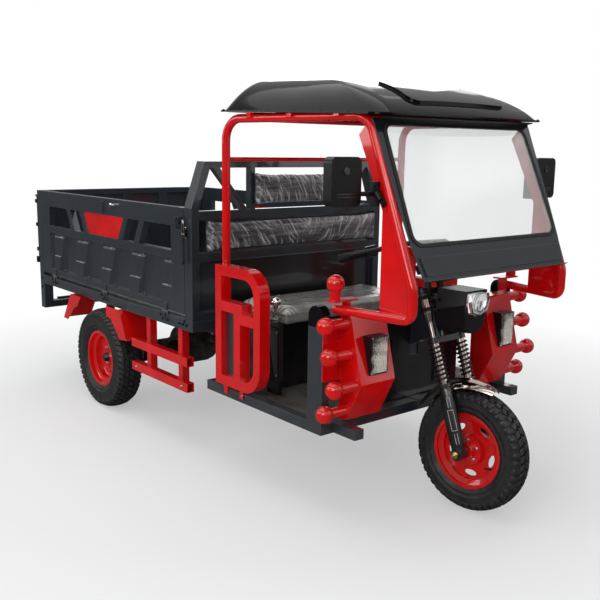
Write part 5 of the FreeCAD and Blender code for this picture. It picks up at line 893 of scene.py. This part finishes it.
# Seat cushion and backrest pads
# Dark vinyl pads in their wrinkled clear packing film. Each is swelled by a cloth simulation from a
# slightly smaller form, then its sewn border and the folds of the film are drawn into it.
def filmed_vinyl(name, colour, film, lean, density):
    material, tree = new_material(name)
    coord = node(tree, "TexCoord")
    turn = node(tree, "Mapping", {"Rotation": lean, "Scale": (1.0, 0.16, 1.0),
                                  "Vector": coord.outputs["Object"]})
    fine = node(tree, "TexNoise", {"Scale": density, "Detail": 3.0, "Distortion": 1.6,
                                   "Vector": turn.outputs[0]})
    # the light film colour along the creases and in noise streaks is a painted highlight of the film's folds
    crease = node(tree, "Attribute", attribute_name="crease")
    streak_highlight = ramp(tree, fine.outputs["Fac"], 0.42, 0.7, 0.0, 0.22)
    both = combine(tree, "ADD", crease.outputs["Fac"], streak_highlight, use_clamp=True)
    # film is the colour of that painted highlight, not a colour of the film itself
    mixed = blend(tree, both, colour, film)
    grain = node(tree, "TexVoronoi", {"Scale": 900.0, "Vector": coord.outputs["Object"]})
    leather = bumped(tree, grain.outputs["Distance"], 0.25, 0.0004)
    wrinkle = bumped(tree, fine.outputs["Fac"], 0.8, 0.009)
    soft = bumped(tree, fine.outputs["Fac"], 0.35, 0.005, leather)
    rough = ramp(tree, fine.outputs["Fac"], 0.3, 0.7, 0.28, 0.44)
    principled(tree, {"Coat Weight": 1.0, "Coat Roughness": 0.08, "Coat IOR": 1.5, "Base Color": mixed,
                      "Roughness": rough, "Normal": soft, "Coat Normal": wrinkle})
    return material


def keep_shape(piece):
    # the shape that the modifiers give becomes the piece's own
    name = piece.name
    piece.data = bpy.data.meshes.new_from_object(piece.evaluated_get(bpy.context.evaluated_depsgraph_get()))
    piece.data.name = name
    piece.modifiers.clear()


def film_strokes(low, high, flat, rise, folds):
    # Folds of the film run in from the edges, most of them on a slant, and fan out. folds gives their
    # number, their slant and how far along the pad the slant turns round.
    count, slant, turning = folds
    chance = random.Random(7 + int(low.z * 1000))
    strokes = []
    for n in range(count):
        along = low[flat] + (high[flat] - low[flat]) * (n + chance.uniform(-0.6, 1.6)) / count
        from_top = chance.random() < 0.55
        start_rise = high[rise] - 0.002 if from_top else low[rise] + 0.002
        if chance.random() < 0.25:
            start_rise = chance.uniform(low[rise] + 0.02, high[rise] - 0.02)
        lean_by = slant * (1.0 if along < low[flat] + (high[flat] - low[flat]) * turning else -0.9)
        lean_by = (lean_by + chance.uniform(-0.45, 0.45)) * (1 if from_top else -1)
        reach = chance.uniform(0.25, 0.9) * min(0.15, high[rise] - low[rise])
        way = Vector((lean_by, -1.0 if from_top else 1.0)).normalized()
        strokes.append((Vector((along, start_rise)), way, reach, chance.uniform(0.0018, 0.0042),
                        chance.random() ** 1.6 + 0.15, chance.uniform(-4.0, 4.0)))
    return strokes


def fold_strength(strokes, u, v):
    # how much all strokes together raise the film at one point of the pad's face
    total = 0.0
    for start, way, reach, breadth, strength, curl in strokes:
        du, dv = u - start.x, v - start.y
        if abs(du) > reach + 0.02 or abs(dv) > reach + 0.02:
            continue
        run = du * way.x + dv * way.y
        if run < -0.006 or run > reach:
            continue
        off = du * way.y - dv * way.x + curl * run * (reach - run)
        if abs(off) < 3 * breadth:
            fall = math.sin(math.pi * min(1.0, max(0.0, (run + 0.006) / (reach + 0.006))) ** 0.8)
            total += strength * fall * math.exp(-(off / breadth) ** 2)
    return total


def swollen_pad(name, low, high, material, rest, cap, voxel, folds, seam):
    # rest names the axis of the side that the pad is held by, which stays flat, and cap is the most
    # that it swells
    seam_inset, seam_width, fold_height = 0.016, 0.0035, 0.0032
    low, high = Vector(low), Vector(high)
    low_inset, high_inset = Vector((0.006, 0.006, 0.006)), Vector((0.006, 0.006, 0.006))
    low_inset[rest], high_inset[rest] = 0.0, cap * 0.5
    bm = bmesh.new()
    add_block(bm, low + low_inset, high - high_inset, 0.010, 3)
    piece = set_piece(bm, name, material)
    remesh = piece.modifiers.new("Even", "REMESH")
    remesh.mode, remesh.voxel_size = "VOXEL", voxel
    keep_shape(piece)
    before = [v.co.copy() for v in piece.data.vertices]
    cloth = piece.modifiers.new("Swell", "CLOTH")
    cloth.settings.use_pressure = True
    cloth.settings.uniform_pressure_force = 4.0
    cloth.settings.effector_weights.gravity = 0.0
    for moment in range(1, 21):
        bpy.context.scene.frame_set(moment)
    shape = piece.evaluated_get(bpy.context.evaluated_depsgraph_get())
    after = [v.co.copy() for v in shape.data.vertices]
    piece.modifiers.clear()
    bpy.context.scene.frame_set(1)
    for vertex, first, last in zip(piece.data.vertices, before, after):
        move = last - first
        if move.length > cap:
            move *= cap / move.length
        vertex.co = first + move
    smoother = piece.modifiers.new("Round", "SUBSURF")
    smoother.levels = smoother.render_levels = 1
    keep_shape(piece)
    across = [n for n in range(3) if n != rest]
    normals = [v.normal.copy() for v in piece.data.vertices]
    for vertex, normal in zip(piece.data.vertices, normals):
        co = vertex.co
        inset = min(min(co[n] - low[n], high[n] - co[n]) for n in across)
        facing = max(0.0, normal[rest])
        groove = -seam * math.exp(-((inset - seam_inset) / seam_width) ** 2) * facing
        crown = 0.006 * facing * min(1.0, max(0.0, inset) / 0.06)
        vertex.co = co + normal * (groove + crown)
    flat, rise = across
    strokes = film_strokes(low, high, flat, rise, folds)
    # the fold strength, which the material also uses for its painted highlight along the creases
    crease = piece.data.attributes.new("crease", "FLOAT", "POINT")
    for n, vertex in enumerate(piece.data.vertices):
        facing = max(0.0, normals[n][rest])
        if facing < 0.2:
            continue
        total = fold_strength(strokes, vertex.co[flat], vertex.co[rise])
        if total:
            crease.data[n].value = min(1.0, total)
            vertex.co = vertex.co + normals[n] * fold_height * min(1.2, total) * facing
    for vertex in piece.data.vertices:
        vertex.co[rest] = max(vertex.co[rest], low[rest] + 0.0002)
        for n in across:
            vertex.co[n] = min(max(vertex.co[n], low[n] - 0.004), high[n] + 0.004)
    for face in piece.data.polygons:
        face.use_smooth = True
    return piece


# the seat's light grey-green, far lighter than the pads' vinyl, is a painted sheen of the film over the
# cushion
seat_film = filmed_vinyl("seat_vinyl_film_sheen_and_folds", (0.215, 0.215, 0.200), (0.80, 0.80, 0.76),
                         (0.0, 0.0, 0.6), 26.0)
pad_film = filmed_vinyl("pad_vinyl_film_fold_highlights", (0.040, 0.040, 0.043), (0.60, 0.60, 0.61),
                        (0.95, 0.0, 0.0), 27.0)
seat = swollen_pad("seat_cushion_in_film", (0.297, -0.420, 0.7143), (0.675, 0.420, 0.776), seat_film, 2,
                   0.014, 0.007, (120, 0.8, 0.5), 0.0025)
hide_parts("seat_cushion")
for pad_name, half, low, high, slope in (("lower", 0.562, 1.008, 1.168, (170, 0.8, 0.55)),
                                         ("upper", 0.276, 1.222, 1.392, (110, 0.55, 0.9))):
    pad = swollen_pad(pad_name + "_backrest_pad_in_film", (0.2103, -half, low), (0.2543, half, high),
                      pad_film, 0, 0.010, 0.006, slope, 0.002)
    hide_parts("backrest_pads")


# Film gathered at the seat's ends
# The clear packing film is bunched up and tied off at both ends of the cushion.
def boxed(value):
    # a sine or cosine pushed outwards, so that a round turns into a rounded box
    return math.copysign(abs(value) ** 0.7, value)


film_material, tree = new_material("gathered_film")
crinkle = speckle(tree, 70.0, 4.0, Distortion=1.5)
# the lighter streaks along the crinkles are a painted highlight of the clear film
crinkle_highlight = ramp(tree, crinkle, 0.45, 0.7, 0.0, 1.0)
mixed = blend(tree, crinkle_highlight, (0.07, 0.07, 0.065), (0.5, 0.5, 0.47))
bump = bumped(tree, crinkle, 0.9, 0.006)
rough = ramp(tree, crinkle, 0.3, 0.7, 0.12, 0.35)
principled(tree, {"Specular IOR Level": 0.8, "Base Color": mixed, "Roughness": rough, "Normal": bump})
for side_name, side in sides:
    bm = bmesh.new()
    loops = []
    for step in range(7):
        share = step / 6
        deep, tall = 0.150 - 0.095 * share, 0.024 + 0.010 * math.sin(share * 5)
        if share < 0.2:
            deep, tall = 0.155, 0.022
        loop = []
        for n in range(64):
            angle = math.tau * n / 64
            pleat = 1.0 + (0.05 + 0.28 * share) * math.sin(angle * 13 + 2.4 * share)
            pleat += 0.10 * math.sin(angle * 5 + 1.0)
            x = 0.490 + 0.012 * share + deep * boxed(math.cos(angle)) * pleat
            z = 0.742 - 0.012 * share + tall * boxed(math.sin(angle)) * pleat
            loop.append(Vector((x, side * (0.417 + 0.038 * share), max(z, 0.7150))))
        loops.append(loop)
    add_outline_loft(bm, loops)
    bmesh.ops.smooth_vert(bm, verts=bm.verts, factor=0.3, use_axis_x=True, use_axis_y=True, use_axis_z=True)
    bunch = set_piece(bm, "gathered_film_" + side_name, film_material)


# Mirrors and tail lamps
# Each mirror has a bright glass in its rear face and a screw pivot in its housing. Each tail lamp has
# a red part and an amber part in a black housing.
mirror_glass, tree = new_material("mirror_glass")
smear = speckle(tree, 9.0, 5.0, Distortion=1.0)
rough = ramp(tree, smear, 0.45, 0.75, 0.01, 0.1)
principled(tree, {"Metallic": 1.0, "Base Color": (0.8, 0.83, 0.85), "Roughness": rough})
for side_name, side in sides:
    back = min(c[0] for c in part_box("mirrors"))
    bm = bmesh.new()
    y_low, y_high = sorted((0.5585 * side, 0.6815 * side))
    add_block(bm, (back - 0.0004, y_low, 1.3105), (back + 0.003, y_high, 1.4610), 0.0015, 2)
    set_piece(bm, "mirror_glass_" + side_name, mirror_glass)
    bm = bmesh.new()
    add_frame(bm, back - 0.0012, back + 0.003, (y_low - 0.005, y_high + 0.005, 1.3060, 1.4655),
              (y_low + 0.0003, y_high - 0.0003, 1.3108, 1.4608), 0.001)
    set_piece(bm, "mirror_rim_" + side_name, cowl_plastic, smooth=False)
    y_mid = 0.622 * side
    bm = bmesh.new()
    spot, _ = meet("mirrors", (1.6, y_mid, 1.425), (-1, 0, 0))
    add_turned(bm, [(0.0, 0.0), (0.0135, 0.0), (0.0135, 0.0035), (0.0105, 0.0035), (0.0095, 0.0022),
                    (0.0, 0.0022)], turned(spot, -math.pi / 2, "Z"), 32)
    for z in (1.330, 1.3405):
        spot, _ = meet("mirrors", (1.6, y_mid, z), (-1, 0, 0))
        add_block(bm, (spot.x - 0.001, y_mid - 0.045, z - 0.0025),
                  (spot.x + 0.0022, y_mid + 0.045, z + 0.0025), 0.001, 2)
    set_piece(bm, "mirror_housing_trim_" + side_name, black_paint)
    rear, y_low, y_mid, y_high = -1.6813, 0.357 * side, 0.455 * side, 0.503 * side
    for name, first, last, glass in (("stop", y_low, y_mid, red_lens), ("turn", y_mid, y_high, amber_lens)):
        bm = bmesh.new()
        add_block(bm, (rear, first + 0.001 * side, 0.454),
                  (rear + 0.010, last - 0.001 * side, 0.510), 0.003, 3)
        set_piece(bm, "%s_lamp_lens_%s" % (name, side_name), glass)
    bm = bmesh.new()
    add_block(bm, (rear + 0.0085, y_low - 0.001 * side, 0.4525),
              (-1.6475, y_high + 0.001 * side, 0.5115), 0.004, 2)
    set_piece(bm, "tail_lamp_housing_" + side_name, cowl_plastic, replaced=("tail_lamps",))


# Latches and bolts on the cargo bed
# Toggle latches hold the side boards to the front posts, locking rods stand behind the rear posts, and
# a spring pin sits on each board's top rail. The bolts are all on the outer faces.
def add_loop(bm, points, radius, closed=True):
    count = len(points) if closed else len(points) - 1
    for n in range(count):
        first, last = Vector(points[n]), Vector(points[(n + 1) % len(points)])
        add_rod(bm, first, last, radius, 10)
        add_ball(bm, first, radius)


bed_half = 0.633
for side_name, side in sides:
    def at(x, out, z):
        return Vector((x, (bed_half + out) * side, z))

    def span(x_low, x_high, out_low, out_high, z_low, z_high):
        return at(x_low, out_low, z_low), at(x_high, out_high, z_high)

    bm = bmesh.new()
    add_block(bm, *span(0.148, 0.178, -0.0125, -0.009, 1.072, 1.132), 0.001, 1)
    add_block(bm, *span(0.150, 0.154, -0.010, 0.006, 1.082, 1.118), 0.001, 1)
    add_block(bm, *span(0.170, 0.174, -0.010, 0.006, 1.082, 1.118), 0.001, 1)
    add_block(bm, *span(0.154, 0.170, 0.002, 0.007, 0.955, 1.106), 0.002, 2)
    add_block(bm, *span(0.156, 0.168, 0.006, 0.013, 0.952, 0.972), 0.003, 2)
    add_rod(bm, at(0.148, 0.002, 1.100), at(0.176, 0.002, 1.100), 0.0035, 12)
    set_piece(bm, "front_latch_lever_" + side_name, black_oxide, smooth=False)
    bm = bmesh.new()
    add_loop(bm, [at(0.153, 0.005, 1.096), at(0.171, 0.005, 1.096), at(0.168, 0.006, 1.150),
                  at(0.160, 0.008, 1.164), at(0.151, 0.006, 1.150)], 0.0024)
    for z in (1.078, 1.126):
        add_bolt(bm, at(0.163, -0.009, z), (0, side, 0), 0.007, 0.004)
    set_piece(bm, "front_latch_loop_" + side_name, chrome)
    bm = bmesh.new()
    add_block(bm, *span(0.086, 0.134, 0.0, 0.003, 1.120, 1.176), 0.001, 1)
    add_block(bm, *span(0.116, 0.134, 0.003, 0.011, 1.142, 1.149), 0.0015, 2)
    add_block(bm, *span(0.116, 0.134, 0.008, 0.012, 1.142, 1.166), 0.0015, 2)
    for z in (1.128, 1.168):
        add_bolt(bm, at(0.097, 0.003, z), (0, side, 0), 0.008, 0.004)
    set_piece(bm, "board_latch_keeper_" + side_name, black_oxide, "side_board_" + side_name, smooth=False)
    bm = bmesh.new()
    post = -1.659
    foot, bend, tip = [(post - 0.008, y * side, z) for y,
                       z in ((0.611, 0.790), (0.611, 1.176), (0.622, 1.190))]
    add_rod(bm, foot, bend, 0.0062, 16)
    add_rod(bm, bend, tip, 0.0062, 16, 0.005)
    for z in (0.84, 1.00, 1.15):
        add_block(bm, (post - 0.0165, 0.596 * side, z - 0.012),
                  (post + 0.0005, 0.626 * side, z + 0.012), 0.002, 2)
    add_block(bm, (post - 0.0220, 0.592 * side, 0.752), (post + 0.0005, 0.630 * side, 0.792), 0.004, 2)
    set_piece(bm, "rear_locking_rod_" + side_name, black_oxide)
    bm = bmesh.new()
    knob, _ = meet_from_side("side_panel_" + side_name, side, -0.583, 1.190)
    neck, end = knob + Vector((0, 0.016 * side, 0)), knob + Vector((0, 0.026 * side, 0))
    add_rod(bm, knob, neck, 0.0065, 16)
    add_rod(bm, neck, end, 0.0105, 20, 0.0085)
    add_rod(bm, knob + Vector((-0.020, 0.006 * side, 0.004)),
            knob + Vector((0.020, 0.006 * side, -0.004)), 0.004, 12)
    set_piece(bm, "spring_pin_" + side_name, chrome, "side_board_" + side_name)
    bm = bmesh.new()
    for x, z in ((0.090, 0.655), (0.122, 0.6525), (0.155, 0.651), (-1.62, 0.655), (-1.62, 0.60)):
        add_bolt(bm, *meet_from_side("bed_frame", side, x, z), 0.013, 0.007)
    for x in (-1.400, -0.705, -0.039):
        for shift in (-0.022, 0.022):
            add_bolt(bm, *meet_from_side("bed_frame", side, x + shift, 0.652), 0.011, 0.006)
    set_piece(bm, "bed_rail_bolts_" + side_name, black_oxide, smooth=False)
    bm = bmesh.new()
    for x_low, x_high in ((-1.583, -1.445), (-1.36, -0.75), (-0.66, -0.085), (0.007, 0.139)):
        add_block(bm, *span(x_low, x_high, -0.006, -0.003, 0.660, 0.6805), 0.0008, 1)
    set_piece(bm, "bed_rail_lip_" + side_name, grey_paint, smooth=False)


# Painted glints on the pressed stakes
# Thin plates of bright steel on the sloping tops and the middle steps of the stakes are painted highlights.
for side_name, side in sides:
    bm = bmesh.new()
    for place_x in (-1.318, -0.967, -0.623, -0.291, 0.007):
        for x, level, breadth, height in ((place_x, 0.948, 0.062, 0.015),
                                          (place_x - 0.050, 0.8265, 0.046, 0.005)):
            corners = []
            for across, up in ((-0.5, -0.5), (0.5, -0.5), (0.34, 0.5), (-0.34, 0.5)):
                spot, _ = meet_from_side("side_panel_" + side_name, side, x + across * breadth,
                                         level + up * height)
                corners.append(bm.verts.new(spot + Vector((0, 0.0006 * side, 0))))
            bm.faces.new(corners)
    bmesh.ops.subdivide_edges(bm, edges=list(bm.edges), cuts=3, use_grid_fill=True)
    for v in bm.verts:
        v.co += Vector((noise.noise(v.co * 90.0), 0.0, noise.noise(v.co * 70.0 + Vector((3, 1, 2))))) * 0.003
    bmesh.ops.solidify(bm, geom=list(bm.faces), thickness=0.0004)
    # the plates stand in for the highlights on the stakes, as painted glints
    set_piece(bm, "stake_painted_glint_" + side_name, glint_steel, "side_board_" + side_name, smooth=False)


# Fastenings of the guards and boxes
# Bolts join the door guards to their posts and sills and the low guards to their hangers. The seat's
# box has a hinged door with a catch.
bm = bmesh.new()
for side in (-1, 1):
    for x, z in ((0.436, 0.975), (0.436, 0.955), (0.436, 0.470), (0.436, 0.450), (0.452, 0.398),
                 (0.600, 0.398), (-0.365, 0.415), (-0.365, 0.330), (0.100, 0.415), (0.100, 0.330)):
        # where a guard has no metal at the height of a bolt, that bolt is left out
        try:
            spot, _ = meet_from_side("side_guards", side, x, z)
        except ValueError:
            continue
        if abs(spot.y) > 0.56:
            add_bolt(bm, spot, (0, side, 0), 0.011, 0.006)
set_piece(bm, "guard_bolts", zinc, smooth=False)
for side_name, side in sides:
    ys = sorted((0.3995 * side, 0.4030 * side))
    bm = bmesh.new()
    add_block(bm, (0.310, ys[0], 0.450), (0.600, ys[1], 0.675))
    face = max(bm.faces, key=lambda f: f.calc_center_median().y * side)
    bmesh.ops.inset_region(bm, faces=[face], thickness=0.016, depth=0.0)
    bmesh.ops.inset_region(bm, faces=[face], thickness=0.003, depth=-0.0025)
    round_edges(bm, bm.edges, 0.0008)
    add_rod(bm, (0.318, ys[0], 0.6835), (0.592, ys[0], 0.6835), 0.005, 12)
    set_piece(bm, "seat_box_door_" + side_name, black_paint, smooth=False)
    bm = bmesh.new()
    outer = 0.403 * side
    add_rod(bm, (0.455, outer - 0.002 * side, 0.640), (0.455, outer + 0.004 * side, 0.640), 0.011, 20)
    add_rod(bm, (0.455, outer + 0.004 * side, 0.640), (0.455, outer + 0.006 * side, 0.640), 0.004, 6)
    for x in (0.320, 0.590):
        for z in (0.460, 0.665):
            add_bolt(bm, (x, outer, z), (0, side, 0), 0.008, 0.004)
    set_piece(bm, "seat_box_catch_" + side_name, zinc, smooth=False)


# Grips and knobs
# Soft ribbed rubber grips with end flanges replace the plain ones. The hand lever has a bright knob,
# and a bright domed cap stands at the right end of the seat.
grip_mesh = nodes["grips"].data
for side_name, side in sides:
    cloud = [v.co.copy() for v in grip_mesh.vertices if v.co.y * side > 0]
    middle = sum(cloud, Vector()) / len(cloud)
    far = max(cloud, key=lambda co: co.y * side)
    near = min(cloud, key=lambda co: co.y * side)
    way = (far - near).normalized()
    # the grip's own line, found in a few rounds from the middles of its two ends
    for _ in range(6):
        high = max((co - middle).dot(way) for co in cloud)
        low = min((co - middle).dot(way) for co in cloud)
        tip = [co for co in cloud if (co - middle).dot(way) > high - 0.006]
        root = [co for co in cloud if (co - middle).dot(way) < low + 0.006]
        end, start = sum(tip, Vector()) / len(tip), sum(root, Vector()) / len(root)
        way = (end - start).normalized()
    place = Matrix.Translation((start + end) / 2) @ way.to_track_quat("Y", "Z").to_matrix().to_4x4()
    half = 0.061
    profile = [(0.0, -half), (0.0195, -half), (0.0205, -half + 0.0015), (0.0205, -half + 0.004),
               (0.0165, -half + 0.006)]
    for n in range(16):
        y = -half + 0.010 + 0.0062 * n
        profile += [(0.0158, y), (0.0176, y + 0.0012), (0.0176, y + 0.0032), (0.0158, y + 0.0044)]
    profile += [(0.0172, half - 0.004), (0.0180, half - 0.002), (0.0165, half), (0.0, half)]
    bm = bmesh.new()
    add_turned(bm, profile, place, 36)
    set_piece(bm, "ribbed_grip_" + side_name, rubber_seal, "steering", replaced=("grips",))
bm = bmesh.new()
knob = [(0.0, -0.022), (0.009, -0.021), (0.0115, -0.016), (0.0115, -0.006), (0.017, 0.002), (0.0185, 0.010),
        (0.0165, 0.018), (0.010, 0.024), (0.0, 0.0255)]
controls = [v.co for v in nodes["controls"].data.vertices]
top = max(co.z for co in controls)
tip = [co for co in controls if co.z > top - 0.004]
add_turned(bm, knob, turned(sum(tip, Vector()) / len(tip), math.pi / 2, "X"), 32)
set_piece(bm, "hand_lever_knob", chrome)
bm = bmesh.new()
dome = [(0.0, -0.030), (0.011, -0.030), (0.011, -0.012), (0.024, -0.008), (0.0275, -0.001), (0.0265, 0.009),
        (0.020, 0.019), (0.010, 0.0255), (0.0, 0.027)]
lock = turned((0.609, -0.424, 0.812), math.pi / 2, "X")
add_turned(bm, dome, lock, 40)
add_turned(bm, [(0.0, -0.045), (0.008, -0.045), (0.008, -0.029), (0.0, -0.029)], lock, 24)
set_piece(bm, "seat_lock_cap", chrome)


# Spring clamps
# Two U-bolts with a plate and nuts hold each leaf spring to the axle, and bands clip its leaves together.
for side_name, side in sides:
    y = 0.335 * side
    bm = bmesh.new()
    top, _ = meet("leaf_springs", (rear_axle_x, y, 1.0), down)
    for x in (rear_axle_x - 0.039, rear_axle_x + 0.039):
        arch = [(x, y - 0.029, 0.236), (x, y - 0.029, top.z + 0.006), (x, y - 0.022, top.z + 0.013),
                (x, y + 0.022, top.z + 0.013), (x, y + 0.029, top.z + 0.006), (x, y + 0.029, 0.236)]
        add_loop(bm, arch, 0.0055, closed=False)
    set_piece(bm, "spring_u_bolts_" + side_name, zinc)
    bm = bmesh.new()
    add_block(bm, (-0.860, y - 0.038, top.z), (-0.746, y + 0.038, top.z + 0.008), 0.002, 2)
    add_block(bm, (-0.860, y - 0.038, 0.240), (-0.746, y + 0.038, 0.248), 0.002, 2)
    for x in (rear_axle_x - 0.039, rear_axle_x + 0.039):
        for shift in (-0.029, 0.029):
            add_bolt(bm, (x, y + shift, 0.240), down, 0.018, 0.012)
    for x in (-1.03, -0.576):
        spot, _ = meet("leaf_springs", (x, y, 1.0), down)
        below, _ = meet("leaf_springs", (x, y, 0.2), (0, 0, 1))
        low, high = min(below.z, spot.z), max(below.z, spot.z)
        add_frame(bm, x - 0.012, x + 0.012, (y - 0.026, y + 0.026, low - 0.004, high + 0.004),
                  (y - 0.0222, y + 0.0222, low, high), 0.001)
    set_piece(bm, "spring_clamp_plates_" + side_name, oily_steel, smooth=False)
